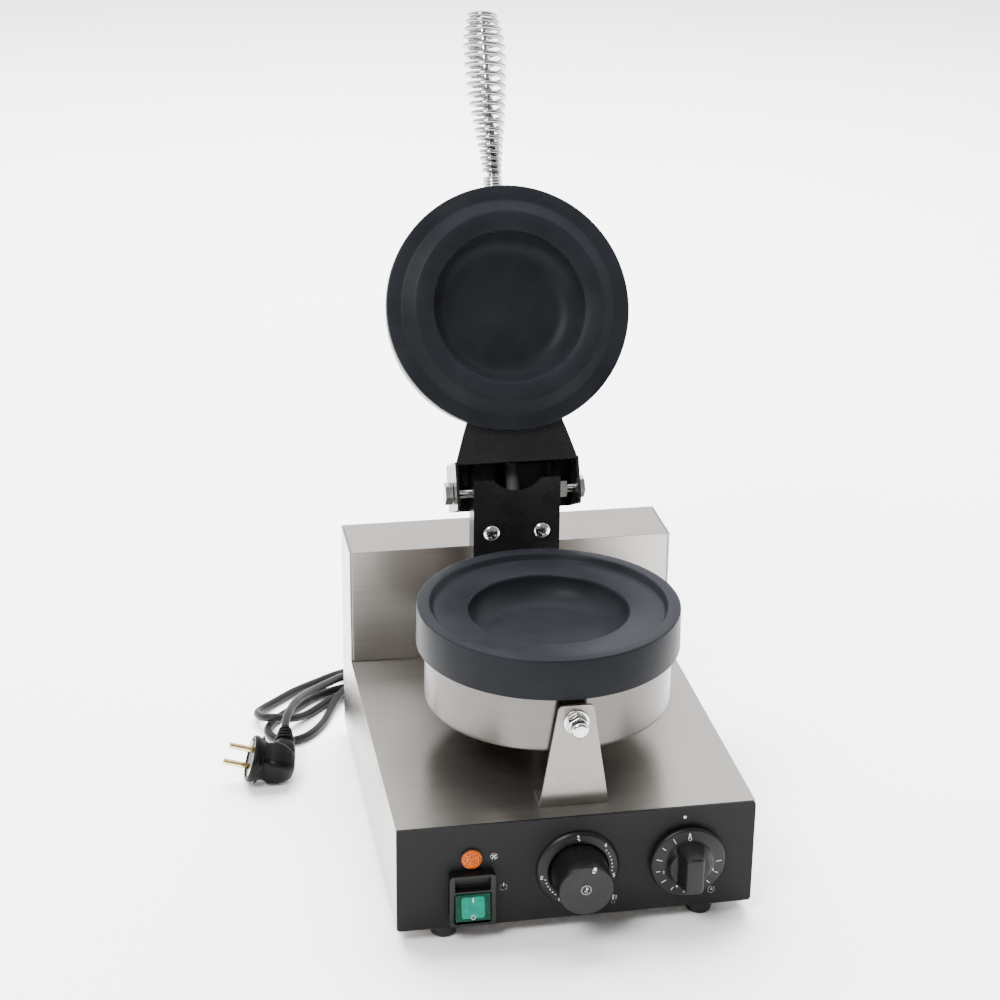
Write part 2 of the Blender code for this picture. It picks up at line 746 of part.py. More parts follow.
def make_lid_arm():
    """Ring between pan and cover, neck, and the folded bracket that caps the hinge."""
    ring = turned(
        [(0.0880, ARM_LOW), (0.0880, ARM_TOP), (0.0660, ARM_TOP), (0.0660, ARM_LOW)],
        BIG_ROUND,
    )
    arm = place("lid_arm", ring, "black_sheet", lid, PAN_AT)
    neck = [(-0.0462, -WALL_REACH + 0.001), (0.0462, -WALL_REACH + 0.001)]
    neck += [(0.0395, -0.042), (0.0330, -0.060), (-0.0330, -0.060), (-0.0395, -0.042)]
    cutter(arm, extruded(neck, 2, ARM_LOW + 0.00002, ARM_TOP - 0.00002), "UNION")
    tail = 0.0136
    side = [(-WALL_REACH, ARM_LOW)]
    side += arc((tail - 0.005, ARM_LOW + 0.005), 0.005, -90, 0, 3)
    side += [(tail, WALL_TOP), (-WALL_REACH, WALL_TOP)]
    bracket = extruded(side, 0, -ARM_HALF_WIDTH, ARM_HALF_WIDTH)
    cutter(arm, bracket, "UNION")
    inside = ARM_HALF_WIDTH - ARM_SHEET
    hollow = block(
        (-inside, inside),
        (-WALL_REACH + ARM_SHEET, tail + 0.001),
        (ARM_LOW - 0.001, WALL_TOP - ARM_SHEET),
    )
    cutter(arm, hollow)
    through = bar(BOLT_RADIUS + GAP, -0.050, 0.050)
    cutter(arm, through, rotation=ALONG_X)
    lead_hole = extruded(circle((0, LEAD_Z), 0.0056), 1, -WALL_REACH - 0.001, -0.017)
    cutter(arm, lead_hole)
    # A lug turned up inside the cover holds the handle's rod.
    lug = block((-0.011, 0.011), (-0.2175, -0.2150), (ARM_TOP - 0.001, ROD_Z + 0.007))
    cutter(arm, lug, "UNION")
    rod_hole = extruded(circle((0, ROD_Z), ROD_RADIUS + GAP), 1, -0.219, -0.213)
    cutter(arm, rod_hole)


def make_upper_pan():
    boss = MATING - 0.0055
    plate = [
        (LID_RADIUS, FLANGE_BACK),
        (LID_RADIUS, MATING + 0.0008),
        (LID_RADIUS - 0.0008, MATING),
        (0.0804, MATING),
        (0.0712, boss),
    ]
    plate += [(radius, boss + drop) for radius, drop in dish(-1, DISH_DEPTH)]
    back = boss + DISH_DEPTH
    plate += [
        (0, back + 0.0045),
        (0.040, back + 0.0045),
        (0.055, back - 0.0010),
        (0.0615, FLANGE_BACK),
    ]
    place("upper_plate", turned(plate, BIG_ROUND), "cast_plate", lid, PAN_AT)
    cover = [
        (DRUM_RADIUS, COVER_LOW),
        (DRUM_RADIUS, COVER_TOP - 0.0080),
        (DRUM_RADIUS - 0.0025, COVER_TOP - 0.0023),
        (DRUM_RADIUS - 0.0080, COVER_TOP),
        (0, COVER_TOP),
        (0, COVER_TOP - 0.001),
        (DRUM_RADIUS - 0.0085, COVER_TOP - 0.001),
        (DRUM_RADIUS - 0.0033, COVER_TOP - 0.0031),
        (DRUM_RADIUS - 0.0010, COVER_TOP - 0.0083),
        (DRUM_RADIUS - 0.0010, COVER_LOW),
    ]
    shell = place("upper_cover", turned(cover, BIG_ROUND), "stainless", lid, PAN_AT)
    cutter(shell, bar(0.0056, 0.080, 0.095), location=(0, -LID_REACH, LEAD_Z), rotation=ALONG_Y)
    cutter(
        shell,
        bar(ROD_RADIUS + GAP, 0.080, 0.095),
        location=(0, -LID_REACH, ROD_Z),
        rotation=FACING_FRONT,
    )
    make_heater("upper_heater", lid, PAN_AT, ARM_LOW + 0.0068, COVER_TOP - 0.009, 90)
    pad = [(0.0, COVER_TOP - 0.0055), (0.070, COVER_TOP - 0.0055)]
    pad += [(0.070, COVER_TOP - 0.0014), (0.0, COVER_TOP - 0.0014)]
    place("upper_insulation", turned(pad, ROUND), "fibre", lid, PAN_AT)


def make_leads():
    """The upper heater's sleeved lead: one stretch in the lid, one up the pedestal."""
    rise = [Vector((0, HINGE_Y - 0.001, h)) for h in (0.072, 0.120, 0.170, 0.203)]
    place("lead_in_pedestal", tube(rise, 0.005, 2), "sleeve", body)
    run = [Vector((0, y, LEAD_Z)) for y in (-0.060, -0.036, -0.0135)]
    place("lead_in_lid", tube(run, 0.005, 2), "sleeve", lid)


# ---------------------------------------------------------------- handle
COIL_START, COIL_TURNS = 0.2410, 20
WIRE_RADIUS = 0.0016


def coil_radius(share):
    """Outer radius of the wound grip from pan to tip: a slim neck, a full belly, a closed end."""
    belly = 0.75
    if share < belly:
        return 0.0076 + 0.0090 * math.sin(math.pi / 2 * (share / belly) ** 1.5)
    return 0.0166 - 0.0062 * ((share - belly) / (1 - belly)) ** 1.8


def coil_pitch(share):
    return 0.0043 + 0.0033 * math.sin(math.pi * share**1.5)


def coil_line(per_turn):
    line = []
    reach = COIL_START
    for i in range(COIL_TURNS * per_turn + 1):
        share = i / (COIL_TURNS * per_turn)
        angle = 2 * math.pi * i / per_turn
        radius = coil_radius(share) - WIRE_RADIUS
        line.append(Vector((radius * math.sin(angle), -reach, ROD_Z + radius * math.cos(angle))))
        reach += coil_pitch(share) / per_turn
    return line


def make_handle():
    turns = coil_line(9)
    tip = -turns[-1].y
    rod = bar(ROD_RADIUS, 0.200, tip - 0.003)
    place("handle_rod", rod, "chrome", lid, (0, 0, ROD_Z), FACING_FRONT)
    collar = [
        (ROD_RADIUS + GAP, 0.2234),
        (0.0076, 0.2234),
        (0.0076, 0.2380),
        (0.0068, 0.2390),
        (ROD_RADIUS + GAP, 0.2390),
    ]
    place("handle_collar", turned(collar, 20), "chrome", lid, (0, 0, ROD_Z), FACING_FRONT)
    place("handle_coil", tube(turns, WIRE_RADIUS, 0), "chrome", lid)


# ---------------------------------------------------------------- cord and plug
def from_table(x, y, z):
    """Millimetres behind the panel face and above the bench, as a point under body_frame."""
    return Vector((x / 1000, y / 1000, z / 1000 - FOOT_HEIGHT))


CORD_ROUTE = [
    (5, 336.6, 32), (4, 350, 31), (-4, 369, 26), (-24, 384, 18), (-50, 389, 12), (-78, 391, 10.6),
    (-104, 397.5, 9), (-122, 400, 4.6), (-141, 390, 3.5), (-160, 377, 3.5), (-176, 362, 3.5),
    (-188, 349, 4.5), (-193, 338, 6.5), (-190, 326, 9), (-181, 320, 11), (-168, 322, 8),
    (-155, 333, 4), (-143, 345, 3.5), (-131, 358, 3.5), (-116, 369, 3.5), (-98, 374, 3.5),
    (-78, 376, 3.5), (-52, 373, 3.5), (-20, 363, 3.5), (6, 354, 3.5), (28, 350, 3.5),
    (45, 357, 3.5), (52, 371, 3.5), (45, 385, 3.5), (28, 391, 3.5), (0, 391, 3.5),
    (-40, 385, 3.5), (-80, 383.5, 3.5), (-105, 381, 3.5), (-125, 375, 3.5), (-144, 365, 3.5),
    (-160, 350, 3.5), (-174, 336, 3.5), (-184, 322, 3.5), (-187, 310, 3.5), (-182, 299, 3.5),
    (-171, 293, 3.5), (-159, 297, 3.5), (-149, 307, 3.5), (-140, 322, 3.5), (-133, 339, 4.5),
    (-125, 355, 7.5), (-113, 368, 10.2), (-96, 377, 10.2), (-78, 380.5, 9.8), (-58, 377, 10.4),
    (-37, 364, 10.2), (-15, 349, 4.6), (15, 338, 3.5), (45, 336, 3.5), (66, 344, 3.5),
    (78, 360, 3.5), (77, 379, 3.5), (64, 394, 3.5), (44, 401, 3.5), (10, 401, 3.5),
    (-30, 396, 3.5), (-72, 391, 3.5), (-94, 389.5, 4.3), (-108, 387, 9), (-120, 380, 12), (-133, 365, 15),
    (-146, 348, 18.7), (-157.5, 329, 23.5), (-166, 309, 27.2), (-171.5, 293, 28.4),
    (-174.6, 281.8, 27.4), (-175.7, 273.9, 25.6),
]
CORD_POINTS = 80

PLUG_AT = (-206.6, 237.8, 21.5)  # middle of the plug's face
# Tipped back on its tail. Local X is the way the pins point, -Y the way the cord leaves.
PLUG_AXES = Euler((math.radians(-19.5), math.radians(-17), math.radians(178))).to_matrix()
TAIL_MIDDLE = 0.0269  # where the cord leaves, behind the face


def make_cord():
    gland = [
        (0, DEPTH - 0.008),
        (0.0088, DEPTH - 0.008),
        (0.0088, DEPTH - SHEET - 0.0005),
        (0.0062, DEPTH - SHEET - 0.0005),
        (0.0062, DEPTH + GAP),
        (0.0092, DEPTH + GAP),
        (0.0092, DEPTH + 0.0035),
        (0.0068, DEPTH + 0.0045),
        (0.0046, DEPTH + 0.0255),
        (0, DEPTH + 0.0255),
    ]
    place(
        "cord_gland",
        turned(gland, 20),
        "black_rubber",
        body,
        (GLAND[0], 0, GLAND[1]),
        ALONG_Y,
    )
    route = smooth_route([from_table(*p) for p in CORD_ROUTE], CORD_POINTS)
    place("power_cord", tube(route, CORD_RADIUS, 2), "black_rubber", body)


def make_plug():
    """A round-faced two-pin plug with the cord leaving sideways through a ribbed sleeve."""
    turn = PLUG_AXES.to_euler()
    at = from_table(*PLUG_AT)
    face = turned(
        [
            (0, -0.0012),
            (0.0150, -0.0012),
            (0.0158, 0.0),
            (0.0174, 0.0),
            (0.0182, -0.0010),
            (0.0182, -0.0036),
            (0.0164, -0.0085),
            (0, -0.0085),
        ],
        28,
    )
    pins_turn = (PLUG_AXES @ Matrix.Rotation(math.radians(90), 3, "Y")).to_euler()
    plug = place("plug_body", face, "black_rubber", body, at, pins_turn)
    sections = []
    for back, half_y, half_z in (
        (0.0070, 0.0154, 0.0148),
        (0.0240, 0.0134, 0.0122),
        (0.0345, 0.0090, 0.0074),
    ):
        sections.append([(-back, y, z) for y, z in rounded(half_y, half_z, 0.006)])
    cutter(plug, lofted(*sections), "UNION", at, turn)
    sections = []
    for along, half in ((0.005, 0.0080), (0.0225, 0.0066)):
        loop = rounded(half, half, 0.004)
        sections.append([(x - TAIL_MIDDLE, -along, z) for x, z in loop])
    cutter(plug, lofted(*sections), "UNION", at, turn)
    ribs = [(0, 0.0228), (0.0056, 0.0228)]
    for i in range(4):
        base = 0.0238 + 0.0034 * i
        size = 0.0062 - 0.0004 * i
        ribs += [(size, base), (size, base + 0.0019), (size - 0.0010, base + 0.0022)]
    ribs += [(0.0040, 0.0385), (0, 0.0385)]
    relief_turn = (PLUG_AXES @ Matrix.Rotation(math.radians(90), 3, "X")).to_euler()
    relief_at = at + PLUG_AXES @ Vector((-TAIL_MIDDLE, 0, 0))
    relief = turned(ribs, 16)
    place("plug_strain_relief", relief, "black_rubber", body, relief_at, relief_turn)
    pin = turned(
        [
            (0, -0.0009),
            (PIN_RADIUS, -0.0009),
            (PIN_RADIUS, 0.0175),
            (PIN_RADIUS - 0.0008, 0.0190),
            (0, 0.0190),
        ],
        12,
    )
    for name, side in (("upper", 1), ("lower", -1)):
        pin_at = at + PLUG_AXES @ Vector((0, 0, 0.0095 * side))
        place(f"plug_pin_{name}", pin.copy(), "brass", body, pin_at, pins_turn)


make_housing()
make_rear_cover()
make_bottom_plate()
make_control_panel()
make_feet()
make_lamp()
make_switch()
make_thermostat()
make_timer()
make_terminal_block()
make_lower_pan()
make_supports()
make_pedestal()
make_pedestal_screws()
make_hinge_bolts()
make_lid_arm()
make_upper_pan()
make_leads()
make_handle()
make_cord()
make_plug()
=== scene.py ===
"""Looks of the single-head electric disc press: finishes, fine parts, marks, cord and studio.

Metres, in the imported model's frame. Pieces of the base are drawn in the body's coordinates (panel
face at y = 0, sheet metal from z = 0), pieces of the lid as if it were shut, with the hinge axis at
the origin.
"""

import json
import math

import bmesh
import bpy
from mathutils import Euler, Matrix, Vector


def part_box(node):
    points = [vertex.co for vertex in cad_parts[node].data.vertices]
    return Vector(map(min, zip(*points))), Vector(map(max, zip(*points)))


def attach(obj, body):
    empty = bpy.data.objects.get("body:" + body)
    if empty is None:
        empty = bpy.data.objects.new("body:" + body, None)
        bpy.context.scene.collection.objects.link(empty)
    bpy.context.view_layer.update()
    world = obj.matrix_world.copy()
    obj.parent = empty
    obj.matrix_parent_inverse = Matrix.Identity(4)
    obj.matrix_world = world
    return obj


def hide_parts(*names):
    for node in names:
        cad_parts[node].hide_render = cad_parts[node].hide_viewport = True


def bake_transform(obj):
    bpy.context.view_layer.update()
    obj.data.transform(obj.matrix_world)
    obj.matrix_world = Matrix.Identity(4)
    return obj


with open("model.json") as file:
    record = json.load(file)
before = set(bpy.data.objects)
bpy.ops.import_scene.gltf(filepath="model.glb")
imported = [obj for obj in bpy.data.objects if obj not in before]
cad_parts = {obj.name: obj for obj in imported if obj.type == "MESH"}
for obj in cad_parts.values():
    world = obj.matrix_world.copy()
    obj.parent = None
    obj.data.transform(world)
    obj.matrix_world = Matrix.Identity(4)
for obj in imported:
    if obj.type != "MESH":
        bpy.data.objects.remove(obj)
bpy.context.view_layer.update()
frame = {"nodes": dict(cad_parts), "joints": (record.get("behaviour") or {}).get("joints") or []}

# ---------------------------------------------------------------- places taken from the frame
JOINTS = {joint["name"]: joint for joint in frame["joints"]}
PIVOTS = {name: Vector(joint["pos_m"]) for name, joint in JOINTS.items()}
HINGE = PIVOTS["lid_hinge"]
OPEN_ANGLE = math.radians(JOINTS["lid_hinge"]["range_deg"][1])
PANEL_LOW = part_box("control_panel")[0]
BODY = Matrix.Translation((0, PANEL_LOW.y, PANEL_LOW.z))
LID = Matrix.Translation(HINGE) @ Matrix.Rotation(-OPEN_ANGLE, 4, "X")
WORLD = Matrix.Identity(4)
UPRIGHT = (0, 0, 0)
FACING_FRONT = (math.radians(90), 0, 0)


def in_body(point):
    return BODY.inverted() @ Vector(point)


def middle(node):
    low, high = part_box(node)
    return (low + high) / 2


PAN = in_body(middle("lower_plate"))
LID_REACH = in_body(HINGE).y - PAN.y


# ---------------------------------------------------------------- finishes
def ranged(tree, value, start, end, low, high):
    """A node that maps the value from start-end to low-high."""
    node = tree.nodes.new("ShaderNodeMapRange")
    node.inputs["From Min"].default_value = start
    node.inputs["From Max"].default_value = end
    node.inputs["To Min"].default_value = low
    node.inputs["To Max"].default_value = high
    tree.links.new(value, node.inputs["Value"])
    return node


class Finish:
    """A Principled material being wired up, with patterns in the object's own coordinates."""

    def __init__(self, name, **inputs):
        self.made = bpy.data.materials.new(name)
        self.made.use_nodes = True
        self.tree = self.made.node_tree
        self.shader = self.tree.nodes["Principled BSDF"]
        for socket, value in inputs.items():
            self.shader.inputs[socket.replace("_", " ")].default_value = value
        self.place = self.tree.nodes.new("ShaderNodeTexCoord")

    def link(self, source, socket):
        self.tree.links.new(source, socket)

    def noise(self, scale, detail=3.0, roughness=0.55):
        """Noise from 0 to 1; scale is features per metre along x, y and z."""
        mapping = self.tree.nodes.new("ShaderNodeMapping")
        mapping.inputs["Scale"].default_value = scale
        pattern = self.tree.nodes.new("ShaderNodeTexNoise")
        pattern.inputs["Scale"].default_value = 1.0
        pattern.inputs["Detail"].default_value = detail
        pattern.inputs["Roughness"].default_value = roughness
        self.link(self.place.outputs["Object"], mapping.inputs["Vector"])
        self.link(mapping.outputs["Vector"], pattern.inputs["Vector"])
        return pattern.outputs["Fac"]

    def spread(self, value, low, high, start=0.3, end=0.7):
        """The value from start to end spread over low to high."""
        return ranged(self.tree, value, start, end, low, high).outputs["Result"]

    def combined(self, first, second, operation="ADD"):
        node = self.tree.nodes.new("ShaderNodeMath")
        node.operation = operation
        self.link(first, node.inputs[0])
        self.link(second, node.inputs[1])
        return node.outputs[0]

    def roughness(self, value):
        self.link(value, self.shader.inputs["Roughness"])

    def colours(self, value, first, second):
        mix = self.tree.nodes.new("ShaderNodeMix")
        mix.data_type = "RGBA"
        mix.inputs["A"].default_value = (*first, 1.0)
        mix.inputs["B"].default_value = (*second, 1.0)
        self.link(value, mix.inputs["Factor"])
        self.link(mix.outputs["Result"], self.shader.inputs["Base Color"])

    def bump(self, value, depth):
        """Relief of the given depth in metres, on top of any before it."""
        relief = self.tree.nodes.new("ShaderNodeBump")
        relief.inputs["Distance"].default_value = depth
        relief.inputs["Strength"].default_value = 1.0
        self.link(value, relief.inputs["Height"])
        before = self.shader.inputs["Normal"].links
        if before:
            self.link(before[0].from_socket, relief.inputs["Normal"])
        self.link(relief.outputs["Normal"], self.shader.inputs["Normal"])


SHEEN_STRETCH = 0.75  # how far steel draws a reflection out across its brush lines
STEEL_DARK, STEEL_LIGHT = (0.350, 0.328, 0.302), (0.410, 0.387, 0.360)
LINE_DEPTH = 0.0000009
OFF_GRAIN = (0.004, 0.006, 0.005)  # small enough to leave the cross product as it is


def brushed(name, fine, streak, light_and_shade_tint, base, grain):
    """Brushed stainless steel; fine and streak are the scales of its lines and of broad streaks.

    Reflections are drawn out across the lines, which run along grain, or round the piece's own Z.
    The tint paints light and shade into the colour: the same steel is lighter on the housing and
    darker on the drum, cover and brackets.
    """
    steel = Finish(name, Metallic=1.0, Anisotropic=SHEEN_STRETCH)
    nodes = steel.tree.nodes
    if grain:
        across = nodes.new("ShaderNodeVectorMath")
        across.operation = "CROSS_PRODUCT"
        across.inputs[1].default_value = grain
        steel.link(nodes.new("ShaderNodeNewGeometry").outputs["Normal"], across.inputs[0])
        # A face square to the grain has no cross product, so a little is added to it.
        skewed = nodes.new("ShaderNodeVectorMath")
        skewed.inputs[1].default_value = OFF_GRAIN
        steel.link(across.outputs["Vector"], skewed.inputs[0])
        along = skewed.outputs["Vector"]
    else:
        around = nodes.new("ShaderNodeTangent")
        around.direction_type = "RADIAL"
        around.axis = "Z"
        along = around.outputs["Tangent"]
        steel.shader.inputs["Anisotropic Rotation"].default_value = 0.25
    steel.link(along, steel.shader.inputs["Tangent"])
    lines = steel.noise(fine, 2.0)
    bands = steel.noise(streak, 4.0, 0.6)
    smudges = steel.noise((9, 9, 9), 3.0)
    # The tint scales both colours: painted light and shade, not a different steel.
    steel.colours(
        steel.spread(steel.combined(lines, bands), 0.0, 1.0, 0.6, 1.4),
        tuple(c * light_and_shade_tint for c in STEEL_DARK),
        tuple(c * light_and_shade_tint for c in STEEL_LIGHT),
    )
    worn = steel.combined(
        steel.spread(bands, base - 0.01, base + 0.02),
        steel.spread(smudges, -0.02, 0.04),
    )
    steel.roughness(worn)
    steel.bump(lines, LINE_DEPTH)
    return steel.made


def coated(name, dark, light, base):
    """Satin non-stick coating on a casting: faint sand texture and cloudy sheen."""
    coat = Finish(name, Specular_IOR_Level=0.05)
    clouds = coat.noise((28, 28, 28), 4.0)
    sand = coat.noise((1500, 1500, 1500), 2.0)
    coat.colours(coat.spread(clouds, 0.0, 1.0), dark, light)
    coat.roughness(coat.spread(clouds, base - 0.05, base + 0.06))
    coat.bump(coat.noise((90, 90, 90), 2.0), 0.00006)
    coat.bump(sand, 0.00002)
    return coat.made


def painted(name, dark, light, base, grain, depth, shine):
    """Paint or moulded plastic: an orange-peel or spark texture of the given scale and depth."""
    paint = Finish(name, Specular_IOR_Level=shine)
    clouds = paint.noise((40, 40, 40), 4.0)
    paint.colours(paint.spread(clouds, 0.0, 1.0), dark, light)
    paint.roughness(paint.spread(clouds, base - 0.04, base + 0.06))
    paint.bump(paint.noise((grain, grain, grain), 2.0), depth)
    return paint.made


def plated(name, dark, light, base):
    """Bright plating or bare metal with handling marks."""
    metal = Finish(name, Metallic=1.0)
    clouds = metal.noise((160, 160, 160), 4.0)
    metal.colours(metal.spread(clouds, 0.0, 1.0), dark, light)
    metal.roughness(metal.spread(clouds, base - 0.03, base + 0.08))
    metal.bump(metal.noise((900, 900, 900), 2.0), 0.000004)
    return metal.made


def lamp_glass(name):
    lens = Finish(
        name,
        Roughness=0.12,
        Specular_IOR_Level=0.16,
        Emission_Strength=0.10,
        Emission_Color=(1.0, 0.25, 0.03, 1.0),
    )
    lens.colours(
        lens.spread(lens.noise((900, 900, 900), 2.0), 0.0, 1.0, 0.4, 0.7),
        (0.20, 0.024, 0.002),
        (0.56, 0.14, 0.016),
    )
    return lens.made


def rocker_plastic(name, dark, light, glow):
    green = Finish(
        name,
        Roughness=0.14,
        Specular_IOR_Level=0.07,
        Emission_Strength=glow,
        Emission_Color=(*light, 1.0),
    )
    clouds = green.noise((260, 260, 260), 2.0)
    green.colours(green.spread(clouds, 0.0, 1.0), dark, light)
    return green.made


def braided(name):
    """Woven glass sleeve: two sets of threads crossing round the lead."""
    sleeve = Finish(name, Roughness=0.7)
    waves = []
    for turn in (35, -35):
        mapping = sleeve.tree.nodes.new("ShaderNodeMapping")
        mapping.inputs["Rotation"].default_value = (0, math.radians(turn), 0)
        wave = sleeve.tree.nodes.new("ShaderNodeTexWave")
        wave.inputs["Scale"].default_value = 260.0
        sleeve.link(sleeve.place.outputs["Object"], mapping.inputs["Vector"])
        sleeve.link(mapping.outputs["Vector"], wave.inputs["Vector"])
        waves.append(wave.outputs["Fac"])
    weave = sleeve.combined(*waves, operation="MULTIPLY")
    sleeve.colours(weave, (0.015, 0.015, 0.016), (0.11, 0.11, 0.115))
    sleeve.bump(weave, 0.00015)
    return sleeve.made


def fibre_pad(name):
    pad = Finish(name, Roughness=0.95)
    felt = pad.noise((700, 700, 700), 5.0, 0.7)
    pad.colours(pad.spread(felt, 0.0, 1.0), (0.60, 0.57, 0.50), (0.85, 0.83, 0.78))
    pad.bump(felt, 0.0003)
    return pad.made


RECIPES = {
    # the lines' and streaks' scales, tint (painted light and shade on one steel), roughness, way of
    # the lines
    # housing and rear box: the steel tinted lighter, painted light
    "stainless": (brushed, (22, 2600, 2600), (5, 420, 420), 1.14, 0.32, (1, 0, 0)),
    "stainless_side": (brushed, (2600, 22, 2600), (420, 5, 420), 1.15, 0.25, (0, 1, 0)),
    # drum, lid cover and conduit: the same steel tinted far darker, painted shade
    "stainless_turned": (brushed, (20, 20, 2600), (6, 6, 420), 0.31, 0.29, None),
    # brackets and clamp bar: the same steel tinted darker, painted shade
    "stainless_cut": (brushed, (150, 150, 150), (30, 30, 60), 0.50, 0.32, (0, 0, 1)),
    # darker and lighter colour, roughness
    "cast_plate": (coated, (0.0080, 0.0087, 0.0106), (0.0112, 0.0121, 0.0146), 0.38),
    "chrome": (plated, (0.52, 0.51, 0.50), (0.70, 0.69, 0.68), 0.12),
    # the same chrome made darker for the coil: painted shade standing in for dark reflections
    "shaded_chrome_wire": (plated, (0.36, 0.36, 0.36), (0.50, 0.50, 0.50), 0.10),
    "brass": (plated, (0.66, 0.50, 0.24), (0.86, 0.72, 0.42), 0.22),
    # darker and lighter colour, glow
    "rocker_green": (rocker_plastic, (0.002, 0.022, 0.012), (0.003, 0.040, 0.022), 0.12),
    "rocker_light": (rocker_plastic, (0.0003, 0.080, 0.052), (0.0005, 0.145, 0.100), 0.9),
    "lamp_orange": (lamp_glass,),
    "fibre": (fibre_pad,),
    "sleeve": (braided,),
}
PAINTS = {
    # darker and lighter colour, roughness, grain per metre and its depth, shine
    "black_sheet": (
        (0.0060, 0.0060, 0.0063), (0.0085, 0.0085, 0.0088), 0.26, 420, 0.000003, 0.32
    ),
    "panel_black": (
        (0.0058, 0.0058, 0.0061), (0.0076, 0.0076, 0.0079), 0.50, 1300, 0.00001, 0.12
    ),
    "knob_black": (
        (0.0022, 0.0022, 0.0023), (0.0036, 0.0036, 0.0038), 0.38, 1500, 0.00002, 0.22
    ),
    "black_rubber": (
        (0.0040, 0.0040, 0.0044), (0.0070, 0.0070, 0.0076), 0.44, 900, 0.00003, 0.26
    ),
    "plug_black": (
        (0.0012, 0.0012, 0.0013), (0.0020, 0.0020, 0.0021), 0.42, 1200, 0.00002, 0.12
    ),
    "print_white": ((0.50, 0.50, 0.49), (0.62, 0.62, 0.61), 0.55, 1500, 0.00001, 0.4),
    "inner_plastic": ((0.45, 0.41, 0.35), (0.56, 0.52, 0.46), 0.55, 800, 0.00003, 0.4),
}
LOOKS = {name: maker(name, *recipe) for name, (maker, *recipe) in RECIPES.items()}
LOOKS |= {name: painted(name, *recipe) for name, recipe in PAINTS.items()}


# ---------------------------------------------------------------- building blocks
def put(name, data, look, rides, base=BODY, at=(0, 0, 0), turn=UPRIGHT, stands_for=None):
    """A piece in its place, with its finish and the body it moves with.

    A piece called NODE_fine takes the place of that node, unless stands_for names another.
    """
    made = bpy.data.objects.new(name, data)
    bpy.context.collection.objects.link(made)
    if not data.materials:
        data.materials.append(LOOKS[look])
    made.matrix_world = base @ Matrix.LocRotScale(Vector(at), Euler(turn), None)
    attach(made, rides)
    if stands_for or name.endswith("_fine"):
        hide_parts(stands_for or name.removesuffix("_fine"))
    return made


def mesh_from(shape, name, sharp=35):
    bmesh.ops.recalc_face_normals(shape, faces=shape.faces)
    data = bpy.data.meshes.new(name)
    shape.to_mesh(data)
    shape.free()
    data.shade_smooth()
    data.set_sharp_from_angle(angle=math.radians(sharp))
    return data


def polar(radius, degrees, x=0, y=0):
    """The point at this radius and angle from x, y."""
    angle = math.radians(degrees)
    return x + radius * math.cos(angle), y + radius * math.sin(angle)


ON_AXIS = 1e-6  # metres, and no fillet is smaller


def eased(outline, fillet, steps=4):
    """The outline with its corners rounded; a third value on a point is its own fillet."""
    points = [(Vector(p[:2]), p[2] if len(p) > 2 else fillet) for p in outline]
    smooth = []
    for i, (corner, size) in enumerate(points):
        before = points[i - 1][0] - corner
        after = points[(i + 1) % len(points)][0] - corner
        reach = min(size, before.length * 0.49, after.length * 0.49)
        if reach < ON_AXIS or corner.x < ON_AXIS:
            smooth.append(corner)
            continue
        start = corner + before.normalized() * reach
        end = corner + after.normalized() * reach
        for k in range(steps + 1):
            t = k / steps
            smooth.append(start * (1 - t) ** 2 + corner * (2 * t * (1 - t)) + end * t * t)
    return [(p.x, p.y) for p in smooth]


def turned(name, outline, steps):
    """The closed outline of (radius, height) pairs swung round Z."""
    shape = bmesh.new()
    rings = []
    for radius, height in outline:
        if radius < ON_AXIS:
            rings.append([shape.verts.new((0, 0, height))])
            continue
        circle = [polar(radius, 360 * i / steps) for i in range(steps)]
        rings.append([shape.verts.new((x, y, height)) for x, y in circle])
    for k, ring in enumerate(rings):
        after = rings[(k + 1) % len(rings)]
        for i in range(steps):
            j = (i + 1) % steps
            corners = [ring[i % len(ring)], ring[j % len(ring)]]
            corners += [after[j % len(after)], after[i % len(after)]]
            corners = list(dict.fromkeys(corners))
            if len(corners) > 2:
                shape.faces.new(corners)
    return mesh_from(shape, name)


def spun(name, outline, steps, look, rides, base=BODY, at=(0, 0, 0), turn=FACING_FRONT, **more):
    """A turned piece in its place; it faces the front unless it is turned another way."""
    return put(name, turned(name, outline, steps), look, rides, base, at, turn, **more)


def lofted(name, loops, sharp=35):
    """A closed solid through loops with the same number of points."""
    shape = bmesh.new()
    rings = [[shape.verts.new(p) for p in loop] for loop in loops]
    shape.faces.new(rings[0][::-1])
    shape.faces.new(rings[-1])
    for low, high in zip(rings, rings[1:]):
        for i in range(len(low)):
            j = (i + 1) % len(low)
            shape.faces.new((low[i], low[j], high[j], high[i]))
    return mesh_from(shape, name, sharp)


def rounded(half_x, half_y, radius, centre=(0, 0), steps=8):
    """A rectangle with round corners, as an outline."""
    points = []
    for sx, sy, start in ((1, 1, 0), (-1, 1, 90), (-1, -1, 180), (1, -1, 270)):
        x = centre[0] + sx * (half_x - radius)
        y = centre[1] + sy * (half_y - radius)
        points += [polar(radius, start + 90 * k / steps, x, y) for k in range(steps + 1)]
    return points


def soften(made, edge, segments=3, limit=30):
    """Rounds the piece's edges."""
    change = made.modifiers.new("edges", "BEVEL")
    change.width = edge
    change.segments = segments
    change.limit_method = "ANGLE"
    change.angle_limit = math.radians(limit)
    change.harden_normals = True
    return made


def refined(node, rides, look, edge, segments=3, side_look=None):
    """The CAD solid again with its edges rounded; side_look goes on faces towards +-X."""
    shape = bmesh.new()
    shape.from_mesh(frame["nodes"][node].data)
    bmesh.ops.remove_doubles(shape, verts=shape.verts, dist=1e-6)
    bmesh.ops.dissolve_limit(
        shape, angle_limit=math.radians(0.3), verts=shape.verts, edges=shape.edges
    )
    data = mesh_from(shape, node + "_fine")
    data.materials.append(LOOKS[look])
    if side_look:
        data.materials.append(LOOKS[side_look])
        for face in data.polygons:
            face.material_index = int(abs(face.normal.x) > 0.7)
    soften(put(node + "_fine", data, look, rides, WORLD), edge, segments)


